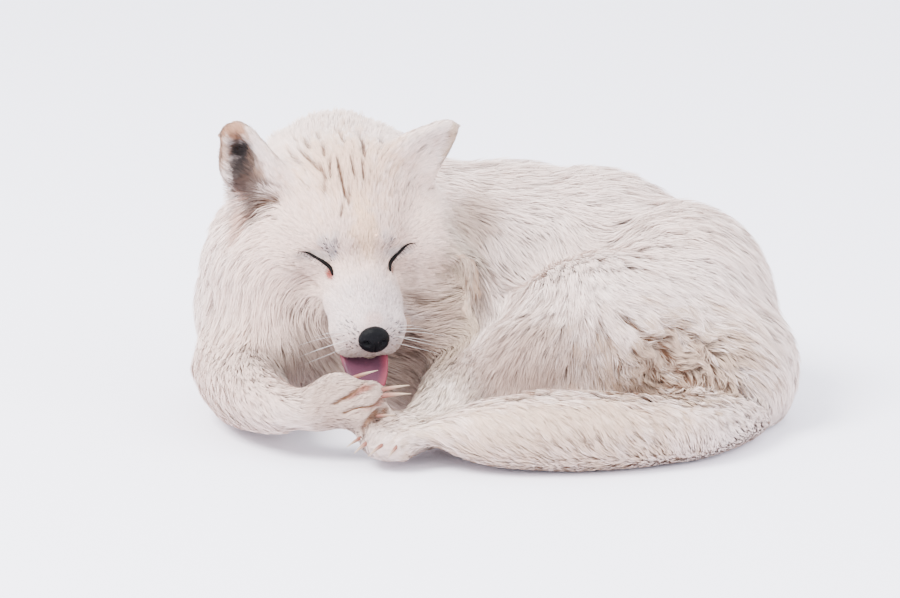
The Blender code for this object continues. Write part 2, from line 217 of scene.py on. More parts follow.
# %% Keep the outer surface
def keep_outer_surface(obj):
    bm = bmesh.new()
    bm.from_mesh(obj.data)
    left, groups = set(bm.verts), []
    while left:
        group = {left.pop()}
        frontier = list(group)
        while frontier:
            near = {v for edge in frontier.pop().link_edges for v in edge.verts} & left
            left -= near
            group |= near
            frontier.extend(near)
        groups.append(group)
    groups.sort(key=len)
    for group in groups[:-1]:
        bmesh.ops.delete(bm, geom=list(group), context="VERTS")
    bm.to_mesh(obj.data)
    bm.free()
    return len(groups) - 1


print("bubbles removed:", keep_outer_surface(skin))


# %% [markdown]
# From here on we work with tens of thousands of vertices at once. A loop in Python over all of them
# is slow, so a mesh's places, normals and edges are read into arrays and written back in one go.

# %% A mesh as arrays
def vertex_array(mesh):
    flat = np.empty(len(mesh.vertices) * 3)
    mesh.vertices.foreach_get("co", flat)
    return flat.reshape(-1, 3)


def normal_array(mesh):
    flat = np.empty(len(mesh.vertices) * 3)
    mesh.vertex_normals.foreach_get("vector", flat)
    return flat.reshape(-1, 3)


def edge_array(mesh):
    flat = np.empty(len(mesh.edges) * 2, dtype=np.int64)
    mesh.edges.foreach_get("vertices", flat)
    return flat.reshape(-1, 2)


def set_vertices(mesh, points):
    mesh.vertices.foreach_set("co", points.ravel())
    mesh.update()


def to_head(points):
    """Places in the head's frame, in millimetres."""
    return points @ np.array(TO_HEAD.to_3x3()).T + np.array(TO_HEAD.translation)


print("the first vertex is at", [round(float(x) / MM) for x in vertex_array(skin.data)[0]], "mm")


# %% [markdown]
# The face and the raised paw need a finer mesh than the back, for lids, lips, folds and toes. A finer
# remesh would make the whole body heavier, so only the faces there are subdivided, those round the
# eyes and the muzzle twice. The last step turns everything to triangles.

# %% Refine the face
def refine(obj, centre, radius):
    """Subdivides the faces inside a ball."""
    mesh = obj.data
    select_only(obj)
    bpy.ops.object.mode_set(mode="EDIT")
    bpy.ops.mesh.select_mode(type="FACE")
    bpy.ops.mesh.select_all(action="DESELECT")
    bpy.ops.object.mode_set(mode="OBJECT")
    flat = np.empty(len(mesh.polygons) * 3)
    mesh.polygons.foreach_get("center", flat)
    inside = np.linalg.norm(flat.reshape(-1, 3) - np.array(centre), axis=1) < radius
    mesh.polygons.foreach_set("select", inside)
    bpy.ops.object.mode_set(mode="EDIT")
    bpy.ops.mesh.subdivide(number_cuts=1, smoothness=0)
    bpy.ops.object.mode_set(mode="OBJECT")


# centre and radius in millimetres of the face, the muzzle and the raised paw
FINER = [
    (HEAD @ Vector((0, -35, 5)), 66),
    (HEAD @ Vector((0, -68, 0)), 43),
    (at("forepaw_right", 0.6, 0.4, 0.5), 32),
]
for centre, radius in FINER:
    refine(skin, centre, radius * MM)
select_only(skin)
bpy.ops.object.mode_set(mode="EDIT")
bpy.ops.mesh.select_all(action="SELECT")
bpy.ops.mesh.quads_convert_to_tris()
bpy.ops.object.mode_set(mode="OBJECT")
print("skin:", len(skin.data.vertices), "vertices and", len(skin.data.polygons), "triangles")


# %% [markdown]
# ## The lie and depth of the coat
#
# A coat is groomed by a few facts about each part of the body: how deep it stands over the skin, how
# long and how wide its tufts are, how strongly they draw together into locks, and which way they lie.
# The table holds the first four for each solid, the first three in millimetres. The head, with its
# closed eyes, is too varied for one row, so it has its own list of spots, in the head's frame, used
# on both sides of the face.

# %% Depth, length, width and locks
# node: depth, length, width, locks from 0 to 1
COAT = {
    "neck": (17, 32, 0.48, 0.45),
    "chest": (17, 32, 0.50, 0.40),
    "loins": (18, 34, 0.48, 0.30),
    "rump": (18, 34, 0.50, 0.30),
    "hind_leg_left": (14, 27, 0.46, 0.45),
    "hind_leg_right": (7, 16, 0.50, 0.40),
    "foreleg_left": (8, 18, 0.46, 0.40),
    "foreleg_right": (11, 22, 0.46, 0.35),
    "forepaw_left": (2.6, 7, 0.38, 0.30),
    "forepaw_right": (2.4, 6.5, 0.36, 0.30),
    "hind_paw_left": (2.6, 7, 0.40, 0.30),
    "hind_paw_right": (2.6, 7, 0.40, 0.30),
    "tail_root": (9, 24, 0.56, 0.80),
    "tail_middle": (11, 24, 0.58, 0.85),
    "tail_tip": (9, 22, 0.56, 0.85),
    "ear_left": (3.2, 9.5, 0.46, 0.60),
    "ear_right": (3.2, 9.5, 0.46, 0.60),
    "lower_jaw": (1.8, 4, 0.30, 0.20),
}
# place in the head's frame: depth, length, width, locks, lie of the hair
HEAD_COAT = {
    (0, -105, -3): (0.7, 1.8, 0.22, 0.05, (0.0, 1.0, 0.5)),
    (9, -104, -16): (0.7, 1.8, 0.22, 0.05, (0.9, 0.6, 0.0)),
    (0, -88, 1): (1.2, 3.0, 0.24, 0.05, (0.0, 1.0, 0.25)),
    (18, -88, -15): (1.4, 3.2, 0.24, 0.10, (0.35, 1.0, -0.15)),
    (10, -100, -27): (0.9, 2.2, 0.24, 0.10, (0.6, 0.6, -0.4)),
    (20, -72, -24): (2.2, 5.0, 0.28, 0.20, (0.45, 0.9, -0.35)),
    (0, -64, 10): (2.0, 4.5, 0.26, 0.10, (0.0, 0.8, 0.6)),
    (15, -58, 3): (1.2, 3.0, 0.24, 0.10, (0.5, 0.8, 0.35)),
    (28, -51, -6): (1.6, 4.0, 0.26, 0.15, (0.9, 0.4, -0.2)),
    (26, -48, 14): (1.6, 4.0, 0.26, 0.15, (0.55, 0.4, 0.7)),
    (38, -40, 12): (2.8, 6.5, 0.30, 0.20, (0.9, 0.5, 0.05)),
    (14, -48, 24): (3.2, 7.0, 0.30, 0.25, (0.15, 0.4, 0.9)),
    (0, -46, 32): (4.0, 9.0, 0.34, 0.45, (0.0, 0.5, 0.85)),
    (0, -28, 46): (6.5, 13, 0.40, 0.80, (0.0, 0.45, 0.9)),
    (24, -24, 42): (6.5, 12, 0.40, 0.70, (0.45, 0.4, 0.8)),
    (0, 0, 56): (8.0, 16, 0.44, 0.85, (0.0, 0.8, 0.6)),
    (30, 0, 48): (7.0, 14, 0.42, 0.75, (0.6, 0.6, 0.5)),
    (0, 30, 54): (12, 22, 0.55, 0.60, (0.0, 1.0, 0.0)),
    (36, -42, -12): (3.6, 8.0, 0.34, 0.30, (0.9, 0.35, -0.25)),
    (52, -25, -2): (7.0, 14, 0.42, 0.45, (0.85, 0.45, -0.25)),
    (56, -20, -20): (9.0, 18, 0.48, 0.50, (0.6, 0.35, -0.7)),
    (68, 5, -15): (12, 24, 0.55, 0.50, (0.5, 0.5, -0.7)),
    (34, -36, -38): (6.0, 14, 0.42, 0.50, (0.5, 0.3, -0.8)),
    (0, -35, -42): (4.5, 10, 0.36, 0.30, (0.0, 0.8, -0.6)),
    (46, -6, 36): (4.0, 10, 0.36, 0.40, (0.6, 0.2, 0.75)),
    (32, 50, 10): (13, 24, 0.58, 0.45, (0.3, 0.8, -0.5)),
}
print(len(COAT), "parts and", len(HEAD_COAT), "spots of the head")


# %% [markdown]
# The lie of the hair elsewhere comes from strokes, as a groomer would brush it: back from the head,
# along the spine to the rump, down the flanks, along the legs to the toes and along the tail. Each
# stroke has a place, as a share of its solid's box, and the way in which the tips point.

# %% Strokes of the brush
STROKES = {
    "neck": [
        ((0.5, 0.95, 0.9), (0.1, 0.95, -0.3)), ((0.5, 0.45, 1.0), (0.0, 0.75, 0.5)),
        ((0.0, 0.4, 0.5), (-0.5, 0.2, -0.8)), ((0.1, 0.1, 0.3), (-0.6, -0.2, -0.75)),
        ((1.0, 0.6, 0.5), (0.85, 0.2, -0.45)), ((0.95, 0.3, 0.3), (0.5, 0.0, -0.85)),
        ((0.5, 1.0, 0.3), (0.2, 0.3, -0.9)),
    ],
    "chest": [
        ((0.0, 0.4, 0.7), (-0.35, -0.1, -0.9)), ((0.0, 0.4, 0.2), (-0.4, -0.1, -0.85)),
        ((0.3, 0.0, 0.7), (0.1, -0.3, -0.9)), ((0.3, 0.0, 0.2), (0.25, -0.5, -0.8)),
        ((0.8, 0.0, 0.6), (0.9, -0.2, 0.25)), ((0.75, 0.0, 0.25), (0.75, -0.3, -0.4)),
        ((0.5, 1.0, 0.5), (0.5, 0.3, -0.8)), ((1.0, 0.5, 1.0), (0.95, 0.2, -0.1)),
        ((0.2, 0.9, 0.8), (0.2, 0.5, -0.8)),
    ],
    "loins": [
        ((0.3, 0.5, 1.0), (0.9, -0.1, -0.1)), ((0.8, 0.5, 1.0), (0.95, -0.15, -0.1)),
        ((0.2, 0.2, 0.75), (0.05, -0.5, -0.85)), ((0.6, 0.2, 0.8), (0.35, -0.5, -0.7)),
        ((0.2, 0.05, 0.4), (-0.1, -0.5, -0.85)), ((0.5, 1.0, 0.4), (0.6, 0.2, -0.75)),
        ((0.5, 0.85, 0.85), (0.8, 0.5, -0.3)),
    ],
    "rump": [
        ((0.3, 0.7, 0.95), (0.95, -0.1, -0.1)), ((0.6, 0.5, 0.9), (0.9, -0.3, -0.2)),
        ((0.35, 0.3, 0.85), (0.95, -0.1, -0.2)), ((0.8, 0.2, 0.7), (0.85, -0.2, -0.4)),
        ((1.0, 0.3, 0.5), (0.6, -0.4, -0.6)), ((0.9, 0.0, 0.3), (0.6, -0.1, -0.75)),
        ((0.6, 0.0, 0.5), (0.7, -0.2, -0.65)), ((0.6, 1.0, 0.4), (0.75, -0.1, -0.65)),
    ],
    "hind_leg_left": [
        ((0.10, 0.3, 0.6), (-0.5, -0.2, -0.8)), ((0.1, 0.1, 0.15), (-0.2, -0.1, -0.95)),
        ((0.33, 0.1, 0.5), (-0.35, -0.2, -0.85)), ((0.36, 0.3, 0.92), (-0.5, -0.3, -0.7)),
        ((0.40, 0.15, 0.7), (-0.4, -0.2, -0.85)), ((0.52, 0.25, 0.92), (0.9, -0.2, -0.3)),
        ((0.56, 0.12, 0.72), (0.75, -0.1, -0.6)), ((0.75, 0.2, 0.75), (0.9, -0.1, -0.3)),
        ((0.95, 0.2, 0.7), (0.85, -0.1, -0.5)), ((0.55, 0.0, 0.35), (0.1, -0.1, -0.95)),
        ((0.46, 0.65, 1.0), (0.8, -0.6, -0.1)), ((0.42, 0.45, 0.98), (0.2, -0.95, -0.15)),
        ((0.85, 0.1, 0.3), (0.5, -0.1, -0.85)),
    ],
    "hind_leg_right": [((0.5, 0.0, 0.5), (-0.7, -0.3, -0.5))],
    "foreleg_left": [((0.5, 0.5, 0.5), (-0.35, -0.85, -0.35))],
    "foreleg_right": [((0.3, 0.6, 0.6), (-0.1, -0.7, -0.6)), ((0.8, 0.0, 0.5), (0.5, -0.5, -0.3))],
    "forepaw_left": [((0.5, 0.5, 0.5), (-0.62, -0.78, 0.0))],
    "forepaw_right": [((0.5, 0.5, 0.5), (0.95, -0.07, 0.28))],
    "hind_paw_left": [((0.5, 0.5, 0.5), (-0.97, -0.22, 0.0))],
    "hind_paw_right": [((0.5, 0.5, 0.5), (-0.35, -0.94, 0.0))],
    "tail_root": [((0.5, 0.3, 0.9), (-0.6, -0.5, 0.4)), ((0.5, 0.1, 0.4), (-0.4, -0.2, 0.9))],
    "tail_middle": [
        ((0.5, 0.6, 1.0), (-0.8, -0.3, 0.3)), ((0.5, 0.0, 0.6), (-0.45, 0.0, 0.9)),
        ((0.5, 0.0, 0.1), (-0.7, -0.1, 0.5)),
    ],
    "tail_tip": [
        ((0.9, 0.5, 1.0), (-0.8, -0.3, 0.3)), ((0.7, 0.0, 0.5), (-0.6, 0.0, 0.8)),
        ((0.1, 0.3, 0.5), (-0.9, 0.0, 0.4)),
    ],
    "lower_jaw": [((0.5, 0.5, 0.0), (0.1, 0.95, -0.1))],
}
print(sum(len(strokes) for strokes in STROKES.values()), "strokes")


# %% [markdown]
# What varies over the skin, such as the depth of the coat or its lie, is kept as a field: an array
# with one row to each vertex. Painting weights by hand would do the same, but a few small tools keep
# it repeatable: one spreads values over the surface, one lays directions flat on it, and one finds
# the solid that a vertex belongs to.

# %% Tools for fields over the skin
BOX_MARGIN = 20 * MM


def unit(vectors):
    return vectors / np.maximum(np.linalg.norm(vectors, axis=-1, keepdims=True), 1e-9)


def spread(values, edges, rounds, keep=0.0):
    """Averages each vertex's values with its neighbours', rounds times."""
    count = len(values)
    ends = np.concatenate([edges[:, 0], edges[:, 1]])
    others = np.concatenate([edges[:, 1], edges[:, 0]])
    degree = np.maximum(np.bincount(ends, minlength=count), 1)[:, None]
    for _ in range(rounds):
        sums = [np.bincount(ends, column[others], minlength=count) for column in values.T]
        values = values * keep + np.stack(sums, axis=1) / degree * (1 - keep)
    return values


def along_surface(vectors, normals):
    return unit(vectors - normals * np.sum(vectors * normals, axis=-1, keepdims=True))


def nearest_solid(points):
    """For each point, the index in flesh of the solid whose surface is nearest."""
    best = np.full(len(points), np.inf)
    nearest = np.zeros(len(points), dtype=np.int64)
    shapes = bpy.context.evaluated_depsgraph_get()
    for index, name in enumerate(flesh):
        low, high = (np.array(corner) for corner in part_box(name))
        tree = BVHTree.FromObject(nodes[name], shapes)
        for i in np.flatnonzero(np.all((points > low - BOX_MARGIN) & (points < high + BOX_MARGIN), axis=1)):
            gap = tree.find_nearest(Vector(points[i]))[3]
            if gap < best[i]:
                best[i], nearest[i] = gap, index
    return nearest


# %% [markdown]
# The steps of the remesh are smoothed out, and the three millimetres of puff are taken back.

# %% Take the puff back
edges = edge_array(skin.data)
outer = spread(vertex_array(skin.data), edges, 3, keep=0.4)
set_vertices(skin.data, outer)
outer = outer - normal_array(skin.data) * PUFF
set_vertices(skin.data, outer)
print("skin box:", [round(float(x) / MM) for x in (*outer.min(0), *outer.max(0))], "mm")


# %% [markdown]
# ## Face, ears and paw
#
# The solids give the head its proportions, and the finer forms are pressed in or swelled out here:
# the closed lids, the brow, the dip between the eyes, the whisker pads, the lips, the groove under
# the nose, and the bowls of the ears. Each is a soft ellipsoid that moves the surface along its own
# normals. Creases between the toes are narrow grooves along a line. First, the deep folds that the
# solids leave between head, nape and breast are eased, because thick fur bridges them.

# %% Ease the folds
# centre in the head's frame, radius in millimetres, rounds of smoothing
FOLDS = [
    ((0, 24, 58), 44, 60),
    ((58, -28, -12), 28, 50),
    ((40, -58, -26), 26, 60),
    ((36, -69, -22), 19, 200),
    ((-48, -44, -26), 18, 30),
]
for centre, radius, rounds in FOLDS:
    away = np.linalg.norm(outer - np.array(HEAD @ Vector(centre)), axis=1) / (radius * MM)
    stay = np.clip(away * 1.6 - 0.6, 0, 1)[:, None]
    for _ in range(rounds):
        outer = outer * stay + spread(outer, edges, 1, keep=0.3) * (1 - stay)
set_vertices(skin.data, outer)
print(len(FOLDS), "folds eased")


# %% [markdown]
# The forms are listed first, with names that say what each one makes. The creases follow: between
# the toes of the raised paw, and where it meets the other paw.

# %% List the forms
# name: centre in the head's frame, radii, millimetres out of the surface, tilt, on both sides
FORMS = {
    "lid": ((26, -46, 6), (12, 10, 9), 1.5, 22, True),
    "brow": ((21, -46, 21), (12, 12, 7), 1.4, 15, True),
    "dip between the eyes": ((0, -54, 14), (9, 12, 13), -1.3, 0, False),
    "hollow under the eye": ((27, -50, -7), (12, 10, 5), -1.0, 10, True),
    "tear groove": ((14, -61, 4.5), (7, 8, 2.2), -0.9, -15, True),
    "whisker pad": ((14, -93, -15), (10, 13, 9), 1.2, 0, True),
    "lip": ((14, -93, -27), (11, 13, 9), 2.6, 0, True),
    "upper lip": ((0, -98, -27), (20, 12, 8), 2.5, 0, False),
    "right corner of the lip": ((-18, -90, -29), (10, 14, 9), 2.5, 0, False),
    "chin": ((0, -96, -35), (12, 9, 6), -2.6, 0, False),
    "left side of the muzzle": ((21, -80, -13), (12, 24, 16), 4.0, 0, False),
    "right side of the muzzle": ((-22, -78, -13), (13, 22, 16), 4.5, 0, False),
    "groove under the nose": ((0, -106, -26), (1.7, 8, 8), -1.6, 0, False),
    "cheek": ((48, -30, -6), (20, 22, 22), 2.0, 0, True),
    "right ear's outer edge": ((-74, 18, 38), (12, 18, 24), 6.5, 0, False),
    "right ear bowl": ((-66, 13, 50), (8.5, 11, 20), -7.0, -14, False),
    "ruff behind the right ear": ((-42, 48, 30), (30, 40, 30), 12.0, 0, False),
    "ruff behind the left ear": ((42, 46, 24), (26, 38, 28), 8.0, 0, False),
    "left ear bowl": ((63, 9, 46), (9, 11, 15), -5.0, 32, False),
}
# name: solid, points as shares of its box, half width, depth
CREASES = {
    "upper toes": ("forepaw_right", [(0.43, 0.23, 0.55), (0.59, 0.29, 0.68), (0.81, 0.44, 0.88)], 3.6, 3.0),
    "lower toes": ("forepaw_right", [(0.52, 0.21, 0.40), (0.75, 0.22, 0.48), (0.97, 0.30, 0.60)], 3.6, 2.8),
    "between the paws": (
        "forepaw_left",
        [(0.07, 0.36, 0.71), (0.12, 0.36, 0.87), (0.24, 0.45, 0.99), (0.40, 0.59, 1.05)],
        3.2, 2.4,
    ),
}
print(len(FORMS), "forms and", len(CREASES), "creases")


# %% [markdown]
# Sculpting brushes would give the same forms by hand. As functions, they can be measured and changed
# one by one: inside its ellipsoid each form is strongest in the middle and fades to nothing at the
# edge. Last of all, no point may be lower than the flat on which the animal rests.

# %% Press and swell
LOWEST = 0.4 * MM


def swell(points, normals, centre, radii, amount, tilt):
    axes = np.array(head_turn @ Matrix.Rotation(math.radians(tilt), 3, "Y"))
    away = (points - np.array(HEAD @ Vector(centre))) @ axes / (np.array(radii) * MM)
    share = np.clip(1 - np.sum(away**2, axis=1), 0, 1) ** 1.5
    return points + normals * (amount * MM * share)[:, None]


def distance_to_line(points, line):
    best = np.full(len(points), np.inf)
    for a, b in zip(line, line[1:]):
        a, b = np.array(a), np.array(b)
        t = np.clip((points - a) @ (b - a) / np.dot(b - a, b - a), 0, 1)
        best = np.minimum(best, np.linalg.norm(points - a - t[:, None] * (b - a), axis=1))
    return best


for centre, radii, amount, tilt, both in FORMS.values():
    for side in (1, -1) if both else (1,):
        place = (centre[0] * side, centre[1], centre[2])
        outer = swell(outer, normal_array(skin.data), place, radii, amount, tilt * side)
    set_vertices(skin.data, outer)
for solid, shares, half_width, deep in CREASES.values():
    near = distance_to_line(outer, [at(solid, *share) for share in shares]) / (half_width * MM)
    outer = outer - normal_array(skin.data) * (deep * MM * np.clip(1 - near**2, 0, 1) ** 2)[:, None]
    set_vertices(skin.data, outer)
outer[:, 2] = np.maximum(outer[:, 2], LOWEST)
set_vertices(skin.data, outer)
normals = normal_array(skin.data)
owner = nearest_solid(outer)
in_head = to_head(outer)
print("vertices of the face:", int((owner == flesh.index("head")).sum()))


# %% [markdown]
# Each vertex of the skin takes the facts of its nearest solid and the mean of that solid's strokes,
# the nearest ones counting most. On the head and the eyes, which have no row in the table, both are
# mixed from the spots near the vertex.

# %% Mix the facts
STROKE_REACH = 12 * MM
SPOT_REACH = 4
NO_ROW = (0, 0, 0, 0)
facts = np.array([COAT.get(name, NO_ROW) for name in flesh])[owner]
lie = np.zeros_like(outer)
for index, name in enumerate(flesh):
    mine = np.flatnonzero(owner == index)
    for (x, y, z), direction in STROKES.get(name, []):
        gap = np.linalg.norm(outer[mine] - np.array(at(name, x, y, z)), axis=1)
        lie[mine] += np.array(Vector(direction).normalized()) / (gap[:, None] ** 2 + STROKE_REACH**2) ** 1.5

on_head = np.isin(owner, [flesh.index(name) for name in ("head", "eye_left", "eye_right")])
spots = np.array([(side * x, y, z) for (x, y, z) in HEAD_COAT for side in (1, -1)])
spot_facts = np.array([row[:4] for row in HEAD_COAT.values() for side in (1, -1)])
spot_lies = np.array([(side * row[4][0], *row[4][1:]) for row in HEAD_COAT.values() for side in (1, -1)])
gaps = np.linalg.norm(in_head[on_head][:, None, :] - spots[None], axis=2)
shares = 1 / (gaps**2 + SPOT_REACH**2) ** 2
shares /= shares.sum(axis=1, keepdims=True)
facts[on_head] = shares @ spot_facts
lie[on_head] = (shares @ spot_lies) @ np.array(head_turn).T
print(len(spots), "spots mixed over", int(on_head.sum()), "vertices of the head")

# %% [markdown]
# On the ears the hair runs from root to tip, with longer hair that leans outwards across the bowl.
# The bowl is found by its vertices: those that face forward, on the inner side of the ear.

# %% Comb the ears
# depth and length of the hair that crosses the bowl
INNER_EAR_HAIR = (4.5, 15)
# root, tip and the way the bowl faces, in the head's frame
EARS = {
    "ear_left": (Vector((42, 10, 40)), Vector((72.5, 20, 61)), Vector((0.30, -0.90, 0.10))),
    "ear_right": (Vector((-53, 11, 33)), Vector((-72.5, 21, 71.5)), Vector((-0.55, -0.80, 0.10))),
}
for name, (root, tip, facing) in EARS.items():
    out = 1 if name == "ear_left" else -1
    mine = owner == flesh.index(name)
    lie[mine] = head_turn @ (tip - root).normalized()
    across = (root - tip).cross(facing).normalized()
    inward = (in_head - np.array(root)) @ np.array(across) * out
    front = mine & (normals @ np.array(head_turn @ facing.normalized()) > 0.1) & (inward < -3)
    lie[front] += np.array(head_turn @ Vector((out, -0.5, -0.2))) * 2.5
    facts[front, :2] = INNER_EAR_HAIR
    print(name, "has", int(front.sum()), "vertices in its bowl")


# %% [markdown]
# The nape has facts of its own, and the whole field is then smoothed over the surface, so that one
# part's coat passes softly into the next.

# %% Smooth the fields
SMOOTHING = 14
NAPE, NAPE_RADIUS, NAPE_COAT = (0, 46, 42), 36, (9, 15, 0.50, 0.85)
nape = np.clip(1.5 - np.linalg.norm(in_head - np.array(NAPE), axis=1) / NAPE_RADIUS, 0, 1)[:, None]
facts = facts * (1 - nape) + np.array(NAPE_COAT) * nape
facts = spread(facts, edges, SMOOTHING)
lie = along_surface(spread(unit(lie), edges, SMOOTHING), normals)
print("coat depth from", round(facts[:, 0].min(), 1), "to", round(facts[:, 0].max(), 1), "mm")


# %% [markdown]
# No coat is combed to perfection. A slow, smooth noise turns the strokes a little everywhere, and
# far more in the matted patch low on the haunch, where the fur is felted and lies all ways.

# %% Loosen the comb
MAT_CENTRE = at("hind_leg_left", 0.82, 0.15, 0.45)
MAT_SIZE = Vector((60, 60, 42)) * MM
MAT_COAT = (10, 12, 0.60, 0.9)
# size of the noise, and how far it turns the hair
WAVE, WAVE_TURN = 26 * MM, math.radians(16)
KNOT, KNOT_TURN = 8 * MM, math.radians(115)


def smooth_noise(points, size, seed=0):
    """One smooth value near -1..1 for each place, changing over the given size."""
    shift = Vector((seed * 7.31, seed * 3.77, seed * 5.13))
    return np.array([noise.noise(Vector(p) / size + shift) for p in points]) * 1.6


def turn_about(vectors, axes, angles):
    """Turns each vector about its axis."""
    cos, sin = np.cos(angles)[:, None], np.sin(angles)[:, None]
    return vectors * cos + np.cross(axes, vectors) * sin


from_mat = np.linalg.norm((outer - np.array(MAT_CENTRE)) / np.array(MAT_SIZE), axis=1)
matted = 1 - np.clip(from_mat * 2 - 1, 0, 1)
facts = facts * (1 - matted[:, None] * 0.8) + np.array(MAT_COAT) * matted[:, None] * 0.8
loose = np.clip(facts[:, 0] / 12, 0, 1)
angles = smooth_noise(outer, WAVE) * WAVE_TURN * loose + smooth_noise(outer, KNOT, 1) * KNOT_TURN * matted
lie = turn_about(lie, normals, angles)
print("matted patch:", int((matted > 0.5).sum()), "vertices")


# %% [markdown]
# The skin now sinks in by the depth of the coat, but never by more than about two fifths of the
# flesh behind it, so that ears and paws don't turn inside out. Underneath, where the animal rests on
# the floor and its coat is pressed flat, it hardly sinks at all, so the model still stands on the
# same level. Every vertex remembers its place on the outer surface: the two together are the inside and
# the outside of the coat. Four small steps follow the surface better than a single long one.

# %% Draw the skin in
PRESSED = 1.5
REST_HEIGHT = 14 * MM
MOST = 0.36
THICKEST = 0.2
START_INSIDE = 0.3 * MM
LOWEST_SKIN = 0.6 * MM


def flesh_behind(points, normals, triangles):
    """How far it is through the body from each point."""
    tree = BVHTree.FromPolygons([Vector(p) for p in points], triangles)
    through = np.empty(len(points))
    for i, (p, n) in enumerate(zip(points, normals)):
        hit = tree.ray_cast(Vector(p - n * START_INSIDE), Vector(-n), THICKEST)
        through[i] = hit[3] if hit[0] is not None else THICKEST
    return through


mesh = skin.data
mesh.calc_loop_triangles()
triangles = np.empty(len(mesh.loop_triangles) * 3, dtype=np.int64)
mesh.loop_triangles.foreach_get("vertices", triangles)
triangles = triangles.reshape(-1, 3)
pressed = np.clip(-normals[:, 2] * 1.6 - 0.3, 0, 1) * np.clip(1.5 - outer[:, 2] / REST_HEIGHT, 0, 1)
depth = (facts[:, 0] * (1 - pressed) + PRESSED * pressed) * MM
most = flesh_behind(outer, normals, triangles.tolist()) * MOST
depth = spread(np.minimum(depth, most)[:, None], edges, 6)[:, 0]
depth = np.minimum(depth, most * 1.15)
inner = outer.copy()
for _ in range(4):
    inner -= normal_array(mesh) * depth[:, None] / 4
    inner = spread(inner, edges, 1, keep=0.7)
    set_vertices(mesh, inner)
inner[:, 2] = np.maximum(inner[:, 2], LOWEST_SKIN)
print("the skin sinks by up to", round(float(depth.max()) / MM, 1), "mm")


# %% [markdown]
# Where a thin edge of flesh lies beside a deep fold, the drawn-in skin could still slip through and
# come out on the far side. Any such vertex is found by asking which side of the nearest outer face
# it is on, and is drawn back towards its own place until it is inside again. Where the coat has had
# to be thinner than its table says, its tufts are made shorter too, or they would dip into the skin.

# %% Bring stray vertices back inside
STRAY_MARGIN = 0.3 * MM


def outside_body(points, tree, margin):
    stray = np.zeros(len(points), dtype=bool)
    for i, p in enumerate(points):
        near, normal, _, gap = tree.find_nearest(Vector(p))
        stray[i] = (Vector(p) - near).dot(normal) > -margin and gap > margin
    return stray


outer_tree = BVHTree.FromPolygons([Vector(p) for p in outer], triangles.tolist())
for attempt in range(4):
    stray = outside_body(inner, outer_tree, STRAY_MARGIN)
    if not stray.any():
        break
    print("round", attempt, "stray vertices:", int(stray.sum()))
    pull = spread(stray[:, None].astype(float), edges, 2)[:, 0]
    pull = np.clip(pull * 2, 0, 1) * 0.6
    inner = inner + (outer - inner) * pull[:, None]
set_vertices(mesh, inner)
depth = np.linalg.norm(outer - inner, axis=1)
facts[:, 1] *= np.clip(1.6 * depth / (facts[:, 0] * MM), 0.3, 1)
print("the coat is", round(float(depth.mean()) / MM, 1), "mm deep on average")


# %% [markdown]
# ## Markings
#
# The coat is white with a cream cast and tan where it is worn, grey on the brows and dark inside the
# right ear, where the dark is painted shade in its hollow. Shade is painted into the markings too:
# tan and brown painted shade in the curl and its folds, grey painted shade along the closed lids and
# a painted shadow between the paws. A painted image would need an unwrap and would end at its seams.
# Each marking is a soft ellipsoid in space instead, broken up by noise. Skin and tufts must agree, so
# both read the same group, from the place of the root on the outer surface.

# %% List the markings
COAT_WHITE = (0.80, 0.655, 0.605)


def in_body(place, radii, turn=(0, 0, 0)):
    return Vector(place), Vector(radii) * MM, Euler([math.radians(a) for a in turn])


def on_face(place, radii, tilt=0):
    """A marking in the head's frame; tilt turns it in the plane of the face."""
    turn = head_turn @ Matrix.Rotation(math.radians(tilt), 3, "Y")
    return HEAD @ Vector(place), Vector(radii) * MM, turn.to_euler()


